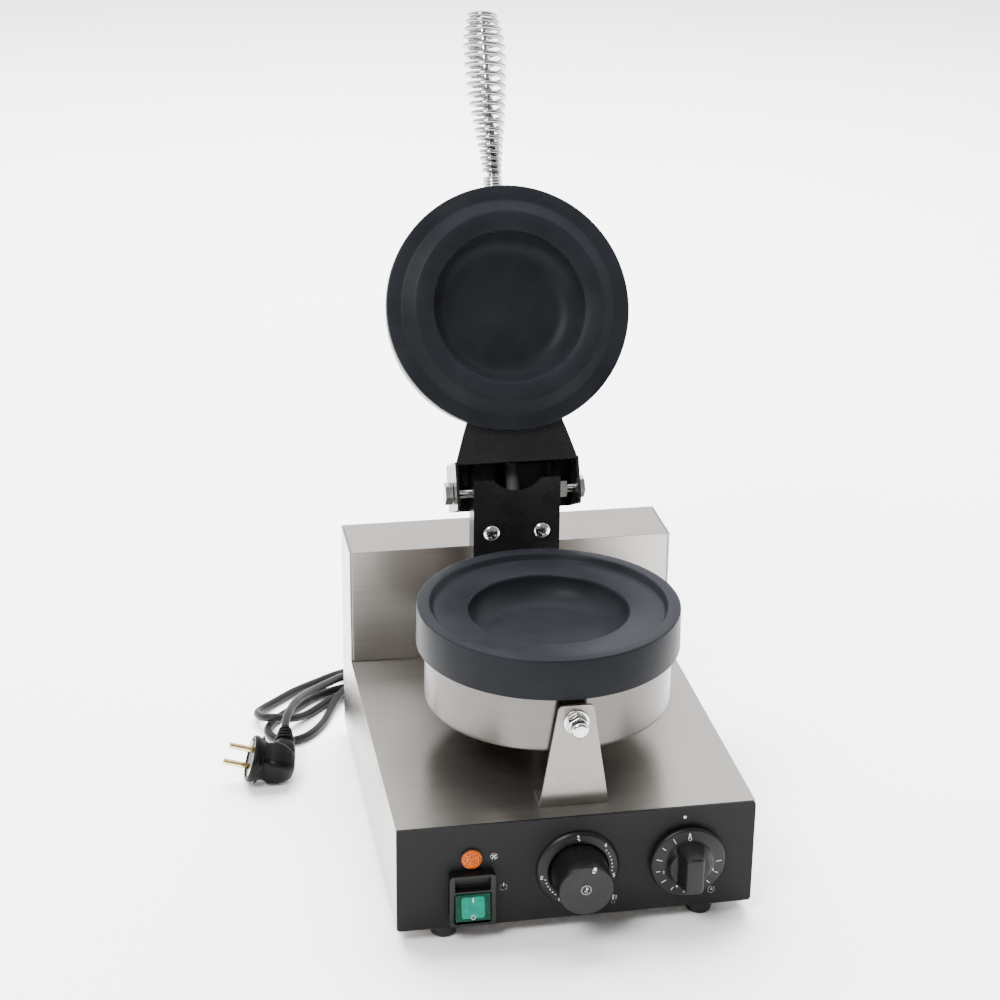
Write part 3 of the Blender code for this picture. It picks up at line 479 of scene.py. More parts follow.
def tube_mesh(name, points, radius, sides):
    """A round tube along the points, closed at both ends, its section carried without twist."""
    loops = []
    across = None
    for i, point in enumerate(points):
        along = (points[min(i + 1, len(points) - 1)] - points[max(i - 1, 0)]).normalized()
        if across is None:
            across = along.orthogonal().normalized()
        across = (across - along * across.dot(along)).normalized()
        up = along.cross(across)
        loop = []
        for k in range(sides):
            angle = 2 * math.pi * k / sides
            loop.append(point + (across * math.cos(angle) + up * math.sin(angle)) * radius)
        loops.append(loop)
    return lofted(name, loops, 50)


def smooth_route(points, per_stretch):
    """Points on a smooth curve through the given ones."""
    fine = []
    ends = [points[0] * 2 - points[1]] + points + [points[-1] * 2 - points[-2]]
    for k in range(len(points) - 1):
        p0, p1, p2, p3 = ends[k : k + 4]
        for i in range(per_stretch):
            t = i / per_stretch
            fine.append(
                0.5
                * (
                    2 * p1
                    + (p2 - p0) * t
                    + (2 * p0 - 5 * p1 + 4 * p2 - p3) * t * t
                    + (3 * p1 - p0 - 3 * p2 + p3) * t * t * t
                )
            )
    return fine + [points[-1]]


# ---------------------------------------------------------------- sheet metal and black steel
def make_sheet_metal():
    refined("base_housing", "base", "stainless", 0.0005, side_look="stainless_side")
    for node, rides, look, edge in (
        ("rear_box_cover", "base", "stainless", 0.0004),
        ("control_panel", "base", "panel_black", 0.00045),
        ("front_support_bracket", "base", "stainless_cut", 0.0004),
        ("rear_support_bracket", "base", "stainless_cut", 0.0004),
        ("hinge_pedestal", "base", "black_sheet", 0.0006),
        ("lid_arm", "lid", "black_sheet", 0.0007),
    ):
        refined(node, rides, look, edge)
    refined("lead_clamp_bar", "base", "stainless_cut", 0.0004, 2)
    for side in ("left", "right"):
        refined(f"hinge_bolt_{side}", "base", "chrome", 0.0005)
        refined(f"hinge_nut_{side}", "base", "chrome", 0.0005)
    refined("switch_frame", "base", "knob_black", 0.0005)


# ---------------------------------------------------------------- pans
def dish(edge_radius, depth, outward):
    """Inner outline of a moulded dish, from its lip to its middle, as radius and drop."""
    floor = edge_radius - depth
    curve = [(edge_radius + 0.0004, 0.0), (edge_radius - 0.0002, -0.0004)]
    steps = 20
    for i in range(1, steps + 1):
        angle = math.radians(90 * i / steps)
        curve.append((floor + (depth - 0.0007) * math.cos(angle), -depth * math.sin(angle)))
    return [(radius, outward * drop) for radius, drop in curve] + [(0, -outward * depth)]


PAN_STEPS = 192
DISH_RADIUS, DISH_DEPTH = 0.0575, 0.020
DISH_WALL = 0.0045
RECESS = 0.005  # how far the flat round the dish lies below the rim
BOSS = 0.0055  # how far the lid's flat stands out to go into that recess
SHEET = 0.001
MATING = -0.0294  # where the shut plates' rims meet, from the hinge axis
LID_PLATE = 0.0079
COVER_GAP = 0.0028  # from the back of the lid's plate to the cover's edge


def make_lower_pan():
    at = (0, PAN.y, 0)
    low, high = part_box("lower_plate")
    top, bottom = in_body(high).z, in_body(low).z
    radius = (high.x - low.x) / 2
    flat = top - RECESS
    outline = [
        (radius, bottom),
        (radius - 0.0005, top, 0.0014),
        (0.0842, top, 0.0010),
        (0.0820, flat, 0.0012),
    ]
    inner = [(r, flat + drop, 0) for r, drop in dish(DISH_RADIUS, DISH_DEPTH, 1)]
    under = [
        (0, flat - DISH_DEPTH - DISH_WALL),
        (0.040, flat - DISH_DEPTH - DISH_WALL),
        (0.054, flat - DISH_DEPTH + 0.0010),
        (0.062, flat - 0.008),
        (0.086, flat - 0.008),
        (0.086, bottom),
    ]
    plate = eased(outline + inner + under, 0.0006)
    spun("lower_plate_fine", plate, PAN_STEPS, "cast_plate", "base", BODY, at, UPRIGHT)
    low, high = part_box("lower_drum")
    top, bottom = in_body(high).z, in_body(low).z
    radius = (high.x - low.x) / 2
    outline = [
        (radius, top, 0.0002),
        (radius, bottom, 0.0042),
        (0.012, bottom, 0.0002),
        (0.012, bottom + SHEET, 0.0002),
        (radius - SHEET, bottom + SHEET, 0.0034),
        (radius - SHEET, top, 0.0002),
    ]
    drum = eased(outline, 0.0003, 6)
    # the drum's steel is tinted darker: painted shade
    spun("lower_drum_fine", drum, PAN_STEPS, "stainless_turned", "base", BODY, at, UPRIGHT)


def make_upper_pan():
    """The lid's plate and cover, drawn shut: heights are from the hinge axis."""
    at = (0, -LID_REACH, 0)
    back = MATING + LID_PLATE
    radius = 0.0918
    flat = MATING - BOSS
    outline = [
        (radius, back, 0.0008),
        (radius, MATING, 0.0014),
        (0.0806, MATING, 0.0010),
        (0.0712, flat, 0.0012),
    ]
    inner = [(r, flat + drop, 0) for r, drop in dish(DISH_RADIUS, DISH_DEPTH, -1)]
    behind = [
        (0, flat + DISH_DEPTH + DISH_WALL),
        (0.040, flat + DISH_DEPTH + DISH_WALL),
        (0.055, flat + DISH_DEPTH - 0.0010),
        (0.0615, back),
    ]
    plate = eased(outline + inner + behind, 0.0006)
    spun("upper_plate_fine", plate, PAN_STEPS, "cast_plate", "lid", LID, at, UPRIGHT)
    radius = 0.088
    low = back + COVER_GAP
    top = low + 0.0367
    outline = [
        (radius, low, 0.0002),
        (radius, top, 0.0095),
        (0, top),
        (0, top - SHEET),
        (radius - SHEET, top - SHEET, 0.0085),
        (radius - SHEET, low, 0.0002),
    ]
    cover = eased(outline, 0.0003, 8)
    # the cover's steel is tinted darker: painted shade
    spun("upper_cover_fine", cover, PAN_STEPS, "stainless_turned", "lid", LID, at, UPRIGHT)


# ---------------------------------------------------------------- bracket hardware and feet
def make_cap_nut():
    low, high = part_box("support_cap_nut")
    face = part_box("front_support_bracket")[0].y
    centre = in_body(Vector((0, face, (low.z + high.z) / 2)))
    washer = eased([(0.0033, 0.0003), (0.0090, 0.0003), (0.0088, 0.0016), (0.0033, 0.0016)], 0.0004)
    spun("support_washer_fine", washer, 64, "chrome", "base", at=centre)
    flats = 0.0130
    hexagon = [polar(flats / math.sqrt(3), 30 + 60 * i) for i in range(6)]
    loops = [[(x, y, z) for x, y in hexagon] for z in (0.0019, 0.0086)]
    nut = lofted("support_cap_nut_fine", loops)
    made = put("support_cap_nut_fine", nut, "chrome", "base", at=centre, turn=FACING_FRONT)
    soften(made, 0.0007, 4)
    dome = [(0, 0.0150), (0.0060, 0.0150, 0.0052), (0.0060, 0.0080, 0.0002), (0, 0.0080)]
    spun("support_cap_nut_dome", eased(dome, 0.0003, 10), 48, "chrome", "base", at=centre)


def make_feet():
    outline = [
        (0, -0.0048),
        (0.0035, -0.0048),
        (0.0035, -0.0100),
        (0.0086, -0.0100, 0.0008),
        (0.0093, -0.0080, 0.0004),
        (0.0101, -0.0006, 0.0006),
        (0.0096, -0.0003),
        (0, -0.0003),
    ]
    outline = eased(outline, 0.0003)
    for node in [n for n in frame["nodes"] if n.startswith("foot_")]:
        at = in_body(middle(node))
        at.z = 0
        spun(node + "_fine", outline, 64, "black_rubber", "base", BODY, at, UPRIGHT)


# ---------------------------------------------------------------- marks
def disc(x, y, radius, steps=20):
    return [[polar(radius, 360 * i / steps, x, y) for i in range(steps)]]


def stroke(points, width):
    """A line of the given width through the points, as convex outlines."""
    pieces = []
    for (ax, ay), (bx, by) in zip(points, points[1:]):
        length = math.hypot(bx - ax, by - ay)
        nx, ny = (ay - by) / length * width / 2, (bx - ax) / length * width / 2
        pieces.append(
            [(ax + nx, ay + ny), (bx + nx, by + ny), (bx - nx, by - ny), (ax - nx, ay - ny)]
        )
    for x, y in points:
        pieces += disc(x, y, width / 2, 8)
    return pieces


def ring(x, y, radius, width, start=0, end=360, steps=32):
    sweep = (end - start) / steps
    return stroke([polar(radius, start + sweep * i, x, y) for i in range(steps + 1)], width)


DIGITS = {
    "0": [(0, 0), (0, 2), (1, 2), (1, 0), (0, 0)],
    "1": [(0.1, 1.5), (0.6, 2), (0.6, 0)],
    "2": [(0, 2), (1, 2), (1, 1), (0, 1), (0, 0), (1, 0)],
    "3": [(0, 2), (1, 2), (0.4, 1.1), (1, 1), (1, 0), (0, 0)],
    "4": [(0.8, 0), (0.8, 2), (0, 0.6), (1.1, 0.6)],
    "5": [(1, 2), (0, 2), (0, 1.1), (1, 1.1), (1, 0), (0, 0)],
}


def digits(text, x, y, height, width):
    """A number drawn in strokes, centred on x, y."""
    unit = height / 2
    pitch = unit * 1.7
    left = x - pitch * (len(text) - 1) / 2 - unit / 2
    pieces = []
    for i, digit in enumerate(text):
        line = [(left + i * pitch + u * unit, y - unit + v * unit) for u, v in DIGITS[digit]]
        pieces += stroke(line, width)
    return pieces


def printed(name, pieces, rides, at, height=lambda x, y: 0.0, turn=FACING_FRONT, thick=0.00006):
    """Flat marks as one thin mesh, lying on a surface whose height over x, y is given."""
    shape = bmesh.new()
    for outline in pieces:
        low = [shape.verts.new((x, y, height(x, y) - thick)) for x, y in outline]
        high = [shape.verts.new((x, y, height(x, y) + thick)) for x, y in outline]
        shape.faces.new(low[::-1])
        shape.faces.new(high)
        for i in range(len(low)):
            j = (i + 1) % len(low)
            shape.faces.new((low[i], low[j], high[j], high[i]))
    put(name, mesh_from(shape, name), "print_white", rides, at=at, turn=turn)


def relief_disc(name, radius, height, foot, half=30, sharp=25):
    """A round solid whose top follows height(x, y, share of the radius), down to a flat foot."""
    shape = bmesh.new()
    grid = []
    for i in range(-half, half + 1):
        row = []
        for j in range(-half, half + 1):
            u, v = i / half, j / half
            x, y = u * math.sqrt(1 - v * v / 2), v * math.sqrt(1 - u * u / 2)
            out = min(1.0, math.hypot(x, y))
            x, y = x * radius, y * radius
            row.append(shape.verts.new((x, y, height(x, y, out))))
        grid.append(row)
    for i in range(2 * half):
        for j in range(2 * half):
            shape.faces.new((grid[i][j], grid[i + 1][j], grid[i + 1][j + 1], grid[i][j + 1]))
    columns = list(zip(*grid))
    edge = [*columns[0], *grid[-1][1:], *columns[-1][-2::-1], *grid[0][-2:0:-1]]
    low = [shape.verts.new((vert.co.x, vert.co.y, foot)) for vert in edge]
    shape.faces.new(low)
    for i in range(len(edge)):
        shape.faces.new((edge[i - 1], edge[i], low[i], low[i - 1]))
    return mesh_from(shape, name, sharp)


def make_screws():
    """Cross-head screws with a domed head; the shank is hidden in the channel."""

    def head(x, y, out):
        arm = min(abs(x), abs(y))
        reach = max(abs(x), abs(y))
        width = max(0.0, min(1.0, (0.00085 - arm) / 0.0002))
        length = max(0.0, min(1.0, (0.0033 - reach) / 0.0009))
        dome = 0.0007 + 0.0027 * math.sqrt(max(0.0, 1 - 0.97 * out**2))
        return dome - 0.0014 * width * length

    for side in ("left", "right"):
        node = f"pedestal_screw_{side}"
        low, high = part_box(node)
        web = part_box("hinge_pedestal")[0].y
        centre = in_body(Vector(((low.x + high.x) / 2, web, (low.z + high.z) / 2)))
        data = relief_disc(node + "_fine", (high.x - low.x) / 2, head, 0.0003, 34, 40)
        turn = (math.radians(90), math.radians(20 if side == "left" else -15), 0)
        put(node + "_fine", data, "chrome", "base", at=centre, turn=turn)


# ---------------------------------------------------------------- controls
def make_lamp():
    """A domed lens whose face is cut into small pyramids."""
    at = in_body(middle("indicator_lens"))
    at.y = 0
    radius, rise, pitch, groove = 0.0070, 0.0040, 0.0019, 0.0007

    def face(x, y, out):
        cut = max(abs((x / pitch) % 1 - 0.5), abs((y / pitch) % 1 - 0.5)) * 2
        fade = min(1.0, (1 - out) * 8)
        return 0.0010 + rise * math.sqrt(max(0.0, 1 - 0.92 * out * out)) - groove * cut * fade

    lens = relief_disc("indicator_lens_fine", radius, face, 0.0003)
    put("indicator_lens_fine", lens, "lamp_orange", "base", at=at, turn=FACING_FRONT)
    collar = eased([(0.0071, 0.0003), (0.0079, 0.0003), (0.0079, 0.0012), (0.0071, 0.0012)], 0.0003)
    spun("indicator_bezel", collar, 64, "knob_black", "base", at=at)


ROCKER_TILT = math.radians(8)


def make_rocker():
    pivot = in_body(PIVOTS["power_rock"])
    tall, wide = 0.0104, 0.0121
    side = [
        (-0.0088, -tall),
        (-0.0100, 0.0008 - tall),
        (-0.0088, 0.0),
        (-0.0100, tall - 0.0008),
        (-0.0088, tall),
        (0.0010, tall),
        (0.0030, tall - 0.0045),
        (0.0030, 0.0045 - tall),
        (0.0010, -tall),
    ]
    rocker = lofted("switch_rocker_fine", [[(x, y, z) for y, z in side] for x in (-wide, wide)])
    tilt = (-ROCKER_TILT, 0, 0)
    made = put("switch_rocker_fine", rocker, "rocker_green", "power_rocker", at=pivot, turn=tilt)
    soften(made, 0.0005, 4, 12)

    def face(z):
        return -0.0088 - 0.0012 * min(1.0, abs(z) / (tall - 0.0008))

    half_x, half_z, lift = 0.0080, 0.0078, 0.00012
    loops = []
    for k in range(9):
        z = -half_z + 2 * half_z * k / 8
        inset = 0.0006 if k in (0, 8) else 0.0
        loops.append(
            [
                (inset - half_x, face(z) + 0.0004, z),
                (half_x - inset, face(z) + 0.0004, z),
                (half_x - inset, face(z) - lift, z),
                (inset - half_x, face(z) - lift, z),
            ]
        )
    window = lofted("switch_rocker_window", loops)
    put("switch_rocker_window", window, "rocker_light", "power_rocker", at=pivot, turn=tilt)
    # "1" and "0" as the usual bar and ring.
    marks = stroke([(0, 0.0040), (0, 0.0068)], 0.0008) + ring(0, -0.0072, 0.0014, 0.0006, steps=24)
    printed(
        "switch_rocker_marks",
        marks,
        "power_rocker",
        pivot,
        lambda x, y: -face(y) + 0.00016,
        turn=(math.radians(90) - ROCKER_TILT, 0, 0),
    )


KNOB_STEPS = 144
KNOB_TURN = math.radians(18)  # from twelve o'clock to where the thermostat stands


def make_thermostat():
    centre = in_body(PIVOTS["thermostat_turn"])
    at = (centre.x, 0, centre.z)
    outline = [
        (0.0205, 0.0003),
        (0.0290, 0.0003, 0.0003),
        (0.0290, 0.0016, 0.0006),
        (0.0272, 0.0034, 0.0010),
        (0.0215, 0.0042, 0.0006),
        (0.0205, 0.0034),
    ]
    spun(
        "thermostat_dial_fine",
        eased(outline, 0.0003),
        KNOB_STEPS,
        "knob_black",
        "base",
        at=at,
        stands_for="thermostat_dial_ring",
    )

    def ring_face(x, y):
        out = math.hypot(x, y)
        return 0.0042 - (out - 0.0215) * 0.0008 / 0.0057 + 0.00004

    marks = []
    for degrees in (90, *range(193, 234, 7), *range(36, -7, -7)):
        marks += disc(*polar(0.0237, degrees), 0.00048)
    for degrees, number in ((92, "3"), (188, "2"), (239, "1"), (44, "4"), (-14, "5")):
        marks += digits(number, *polar(0.0258, degrees), 0.0024, 0.0004)
    printed("thermostat_dial_marks", marks, "base", at, ring_face)

    turn = (math.radians(90), KNOB_TURN, 0)
    outline = [
        (0, 0.0290),
        (0.0080, 0.0291, 0.004),
        (0.0120, 0.0298, 0.003),
        (0.0186, 0.0300, 0.0012),
        (0.0194, 0.0250, 0.002),
        (0.0199, 0.0012, 0.0003),
        (0.0170, 0.0012),
        (0.0165, 0.0200),
        (0, 0.0200),
    ]
    knob, rides = eased(outline, 0.0003, 6), "thermostat_control"
    spun("thermostat_knob_fine", knob, KNOB_STEPS, "knob_black", rides, at=at, turn=turn)
    pointer = [[(-0.0012, 0.0150), (0.0012, 0.0150), (0.0010, 0.0184), (-0.0010, 0.0184)]]
    pointer += disc(0, 0.0150, 0.0012, 16)
    printed("thermostat_pointer", pointer, rides, at, lambda x, y: 0.03002, turn, 0.0001)
    icon = ring(0, 0, 0.0034, 0.0005, steps=40)
    icon += stroke([(0.0003, 0.0020), (0.0003, -0.0010)], 0.0005)
    icon += ring(-0.0003, -0.0012, 0.0009, 0.0004, steps=16)
    for rise in (0.0004, 0.0014):
        icon += stroke([(0.0006, rise), (0.0013, rise)], 0.0003)
    turn = (math.radians(90), KNOB_TURN - math.radians(24), 0)
    printed("thermostat_icon", icon, rides, at, lambda x, y: 0.02912, turn, 0.0001)


def make_timer():
    centre = in_body(PIVOTS["timer_turn"])
    at = (centre.x, 0, centre.z)
    skirt = [
        (0, 0.0125),
        (0.0140, 0.0125, 0.0010),
        (0.0170, 0.0074, 0.0020),
        (0.0256, 0.0060, 0.0008),
        (0.0266, 0.0048, 0.0006),
        (0.0266, 0.0022, 0.0003),
        (0, 0.0022),
    ]
    skirt = eased(skirt, 0.0003)
    spun("timer_knob_fine", skirt, KNOB_STEPS, "knob_black", "timer_control", at=at)
    loops = []
    for rise, half_x, half_y, radius in (
        (0.0050, 0.0115, 0.0168, 0.0060),
        (0.0120, 0.0094, 0.0160, 0.0052),
        (0.0190, 0.0074, 0.0148, 0.0042),
        (0.0243, 0.0062, 0.0139, 0.0032),
        (0.0252, 0.0056, 0.0133, 0.0028),
        (0.0255, 0.0048, 0.0125, 0.0022),
    ):
        loops.append([(x, y, rise) for x, y in rounded(half_x, half_y, radius)])
    grip = lofted("timer_knob_grip", loops, 50)
    put("timer_knob_grip", grip, "knob_black", "timer_control", at=at, turn=FACING_FRONT)

    def skirt_face(x, y):
        return 0.0074 - (math.hypot(x, y) - 0.0170) * 0.0014 / 0.0086 + 0.00006

    marks = []
    for i, degrees in enumerate(range(120, 361, 24)):
        inner = 0.0208 if i % 2 else 0.0196
        marks += stroke([polar(inner, degrees), polar(0.0232, degrees)], 0.00042)
    for degrees, number in ((196, "1"), (245, "2"), (292, "3"), (340, "4")):
        marks += digits(number, *polar(0.0184, degrees), 0.0021, 0.00036)
    marks += ring(0, 0.0196, 0.0011, 0.0004, steps=24)
    marks += stroke([(-0.0009, 0.0202), (0, 0.0236), (0.0009, 0.0202)], 0.0004)
    printed("timer_marks", marks, "timer_control", at, skirt_face)


def make_panel_marks():
    """Index dot and small pictograms on the panel, one beside or below each control."""
    lamp = in_body(middle("indicator_lens"))
    switch = in_body(middle("switch_frame"))
    timer = in_body(PIVOTS["timer_turn"])
    dial = in_body(PIVOTS["thermostat_turn"])
    marks = disc(timer.x - 0.0023, timer.z + 0.0330, 0.0011, 24)
    x, z = lamp.x + 0.0155, lamp.z
    marks += ring(x, z, 0.0024, 0.0005)
    for degrees in (45, 135):
        a, b = polar(0.0024, degrees), polar(-0.0024, degrees)
        marks += stroke([(x + a[0], z + a[1]), (x + b[0], z + b[1])], 0.0005)
    x, z = switch.x + 0.0225, switch.z + 0.0040
    marks += ring(x, z, 0.0023, 0.0005, 125, 415)
    marks += stroke([(x, z + 0.0008), (x, z + 0.0032)], 0.0005)
    x, z = dial.x + 0.0260, dial.z - 0.0300
    marks += ring(x, z, 0.0012, 0.0005, steps=20)
    marks += stroke([(x, z + 0.0014), (x, z + 0.0052)], 0.0009)
    for rise in (0.0022, 0.0034, 0.0046):
        marks += stroke([(x + 0.0014, z + rise), (x + 0.0025, z + rise)], 0.0004)
    x, z = timer.x + 0.0190, timer.z - 0.0270
    marks += ring(x, z, 0.0024, 0.0005)
    marks += stroke([(x, z + 0.0015), (x, z), (x + 0.0011, z)], 0.0004)
    printed("panel_marks", marks, "base", (0, 0, 0), lambda x, y: 0.00004)


# ---------------------------------------------------------------- handle
ROD_Z = 0.004
ROD_RADIUS = 0.004
COIL_START, COIL_TURNS = 0.2410, 20
WIRE_RADIUS = 0.0019


def coil_radius(share):
    """Outer radius of the coil, share of the way along it: a belly, then a rounded end."""
    belly = 0.75
    if share < belly:
        return 0.0076 + 0.0090 * math.sin(math.pi / 2 * (share / belly) ** 1.5)
    return 0.0166 - 0.0062 * ((share - belly) / (1 - belly)) ** 1.8


def coil_pitch(share):
    """How far the coil goes on in one turn: close at both ends, open in the middle."""
    return 0.0043 + 0.0033 * math.sin(math.pi * share**1.5)


def make_handle():
    per_turn = 36
    line = []
    reach = COIL_START
    for i in range(COIL_TURNS * per_turn + 1):
        share = i / (COIL_TURNS * per_turn)
        angle = 2 * math.pi * i / per_turn
        radius = coil_radius(share) - WIRE_RADIUS
        line.append(Vector((radius * math.sin(angle), -reach, ROD_Z + radius * math.cos(angle))))
        reach += coil_pitch(share) / per_turn
    coil = tube_mesh("handle_coil_fine", line, WIRE_RADIUS, 12)
    # the coil's chrome is a darker copy: painted shade
    put("handle_coil_fine", coil, "shaded_chrome_wire", "lid", LID)
    tip = reach - 0.003
    rod = eased([(0, 0.200), (ROD_RADIUS, 0.200), (ROD_RADIUS, tip, 0.0015), (0, tip)], 0.0003)
    at = (0, 0, ROD_Z)
    spun("handle_rod_fine", rod, 48, "chrome", "lid", LID, at)
    inner = ROD_RADIUS + 0.0003
    collar = [(inner, 0.2234), (0.0076, 0.2234, 0.0006)]
    for i in range(6):
        base = 0.2246 + 0.0022 * i
        collar += [(0.0076, base, 0.0002), (0.0071, base + 0.0006, 0.0002)]
        collar += [(0.0071, base + 0.0010, 0.0002), (0.0076, base + 0.0016, 0.0002)]
    collar += [(0.0070, 0.2388, 0.0006), (inner, 0.2390)]
    spun("handle_collar_fine", eased(collar, 0.0002, 3), 64, "chrome", "lid", LID, at)


# ---------------------------------------------------------------- lead over the hinge
LEAD_RADIUS = 0.005


def make_lead():
    """The upper heater's flexible sleeved lead, drawn as one piece from the deck into the lid's
    cover.
    """
    hinge = in_body(HINGE)
    lid_local = [Vector((0, y, 0.009)) for y in (-0.024, -0.040, -0.060)]
    to_body = BODY.inverted() @ LID
    route = [Vector((0, hinge.y - 0.001, z)) for z in (0.072, 0.110, 0.150, 0.185)]
    route.append(Vector((0, hinge.y - 0.0005, hinge.z - 0.014)))
    route.append(Vector((0, hinge.y + 0.0055, hinge.z + 0.0020)))
    route += [to_body @ p for p in lid_local]
    line = smooth_route(route, 12)
    data = tube_mesh("heater_lead", line, LEAD_RADIUS, 20)
    made = bpy.data.objects.new("heater_lead", data)
    bpy.context.collection.objects.link(made)
    data.materials.append(LOOKS["sleeve"])
    made.matrix_world = BODY
    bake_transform(made)
    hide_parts("lead_in_pedestal", "lead_in_lid")


# ---------------------------------------------------------------- cord and plug
# Metres: x, then y behind the panel face, then z above the bench, or LYING where it isn't given.
CORD_ROUTE = [
    (0.005, 0.3366, 0.032), (0.004, 0.350, 0.031), (-0.004, 0.369, 0.026), (-0.024, 0.384, 0.018),
    (-0.050, 0.389, 0.012), (-0.078, 0.391, 0.0106), (-0.104, 0.3975, 0.009),
    (-0.122, 0.400, 0.0046), (-0.141, 0.390), (-0.160, 0.377), (-0.176, 0.362),
    (-0.188, 0.349, 0.0045), (-0.193, 0.338, 0.0065), (-0.190, 0.326, 0.009),
    (-0.181, 0.320, 0.011), (-0.168, 0.322, 0.008), (-0.155, 0.333, 0.004), (-0.143, 0.345),
    (-0.131, 0.358), (-0.116, 0.369), (-0.098, 0.374), (-0.078, 0.376), (-0.052, 0.373),
    (-0.020, 0.363), (0.006, 0.354), (0.028, 0.350), (0.045, 0.357), (0.052, 0.371),
    (0.045, 0.385), (0.028, 0.391), (0.000, 0.391), (-0.040, 0.385), (-0.080, 0.3835),
    (-0.105, 0.381), (-0.125, 0.375), (-0.144, 0.365), (-0.160, 0.350), (-0.174, 0.336),
    (-0.184, 0.322), (-0.187, 0.310), (-0.182, 0.299), (-0.171, 0.293), (-0.159, 0.297),
    (-0.149, 0.307), (-0.140, 0.322), (-0.133, 0.339, 0.0045), (-0.125, 0.355, 0.0075),
    (-0.113, 0.368, 0.0102), (-0.096, 0.377, 0.0102), (-0.078, 0.3805, 0.0098),
    (-0.058, 0.377, 0.0104), (-0.037, 0.364, 0.0102), (-0.015, 0.349, 0.0046), (0.015, 0.338),
    (0.045, 0.336), (0.066, 0.344), (0.078, 0.360), (0.077, 0.379), (0.064, 0.394),
    (0.044, 0.401), (0.010, 0.401), (-0.030, 0.396), (-0.072, 0.391), (-0.094, 0.3895, 0.0043),
    (-0.108, 0.387, 0.009), (-0.120, 0.380, 0.012), (-0.133, 0.365, 0.015),
    (-0.146, 0.348, 0.0187), (-0.1575, 0.329, 0.0235), (-0.166, 0.309, 0.0272),
    (-0.1715, 0.293, 0.0284), (-0.1746, 0.2818, 0.0274), (-0.1757, 0.2739, 0.0256),
]  # fmt: skip
LYING = 0.0035
CORD_RADIUS = 0.00325
PLUG_FACE = (-0.2066, 0.2378, 0.0215)
PLUG_TURN = Euler((math.radians(-19.5), math.radians(-17), math.radians(178)))
TAIL_MIDDLE = 0.0269  # from the plug's face back to where the cord comes in
PIN_SPACING = 0.019
ON_BENCH = Matrix.Translation((0, PANEL_LOW.y, 0))


def make_cord():
    """The mains cord, and the point where it leaves the machine."""
    route = [ON_BENCH @ Vector((*p, LYING)[:3]) for p in CORD_ROUTE]
    route = smooth_route(route, 8)
    data = bpy.data.curves.new("power_cord_fine", "CURVE")
    data.dimensions = "3D"
    data.bevel_depth = CORD_RADIUS
    data.bevel_resolution = 5
    data.use_fill_caps = True
    line = data.splines.new("POLY")
    line.points.add(len(route) - 1)
    for at, point in zip(line.points, route):
        at.co = (*point, 1.0)
    line.use_smooth = True
    return put("power_cord_fine", data, "black_rubber", "base", WORLD), route[0]


def make_plug():
    """Plug with a recessed round face, earth clips, ribbed relief and two pins."""
    plug_at = Matrix.Translation(ON_BENCH @ Vector(PLUG_FACE)) @ PLUG_TURN.to_matrix().to_4x4()
    outwards = (0, math.radians(90), 0)
    made_of = ("plug_black", "base", plug_at)
    face = [
        (0, -0.0012),
        (0.0150, -0.0012, 0.0003),
        (0.0157, 0.0, 0.0003),
        (0.0175, 0.0, 0.0006),
        (0.0182, -0.0012, 0.0006),
        (0.0182, -0.0036, 0.0010),
        (0.0160, -0.0085),
        (0, -0.0085),
    ]
    face = eased(face, 0.0003)
    pieces = [spun("plug_face", face, 96, *made_of, turn=outwards, stands_for="plug_body")]
    loops = []
    for back, half_y, half_z, radius in (
        (0.0068, 0.0150, 0.0144, 0.0060),
        (0.0076, 0.0154, 0.0148, 0.0062),
        (0.0092, 0.0132, 0.0126, 0.0060),
        (0.0120, 0.0124, 0.0118, 0.0060),
        (0.0150, 0.0128, 0.0121, 0.0060),
        (0.0172, 0.0142, 0.0133, 0.0062),
        (0.0245, 0.0134, 0.0122, 0.0058),
        (0.0300, 0.0114, 0.0100, 0.0056),
        (0.0336, 0.0092, 0.0077, 0.0050),
        (0.0345, 0.0080, 0.0064, 0.0044),
    ):
        loops.append([(-back, y, z) for y, z in rounded(half_y, half_z, radius)])
    pieces.append(put("plug_grip", lofted("plug_grip", loops, 60), *made_of))
    loops = []
    for along, half in ((0.0050, 0.0082), (0.0140, 0.0079), (0.0205, 0.0071), (0.0225, 0.0062)):
        loops.append([(x - TAIL_MIDDLE, -along, z) for x, z in rounded(half, half, 0.0040)])
    pieces.append(put("plug_neck", lofted("plug_neck", loops, 60), *made_of))
    ribs = [(0, 0.0226), (0.0052, 0.0226)]
    for i in range(4):
        base = 0.0230 + 0.0037 * i
        size = 0.0080 - 0.0009 * i
        ribs += [(size - 0.0018, base, 0.0004), (size, base + 0.0006, 0.0005)]
        ribs += [(size, base + 0.0022, 0.0005), (size - 0.0020, base + 0.0029, 0.0004)]
    ribs += [(0.0040, 0.0385, 0.0004), (0, 0.0385)]
    ribs, at = eased(ribs, 0.0002, 3), (-TAIL_MIDDLE, 0, 0)
    pieces.append(
        spun("plug_relief_fine", ribs, 48, *made_of, at=at, stands_for="plug_strain_relief")
    )
    pin = [(0, -0.0009), (0.0024, -0.0009), (0.0024, 0.0190, 0.0011), (0, 0.0190)]
    pin = eased(pin, 0.0003, 6)
    for name, z in (("upper", PIN_SPACING / 2), ("lower", -PIN_SPACING / 2)):
        pieces.append(
            spun(f"plug_pin_{name}_fine", pin, 40, "brass", "base", plug_at, (0, 0, z), outwards)
        )
    for side, name in ((1, "near"), (-1, "far")):
        contact = [(y + side * 0.0128, z) for y, z in rounded(0.0021, 0.0058, 0.0020)]
        loops = [[(x, y, z) for y, z in contact] for x in (-0.0014, -0.0002)]
        clip = put(f"plug_earth_{name}", lofted("plug_earth", loops), "brass", "base", plug_at)
        pieces.append(soften(clip, 0.0004, 3))
    return pieces


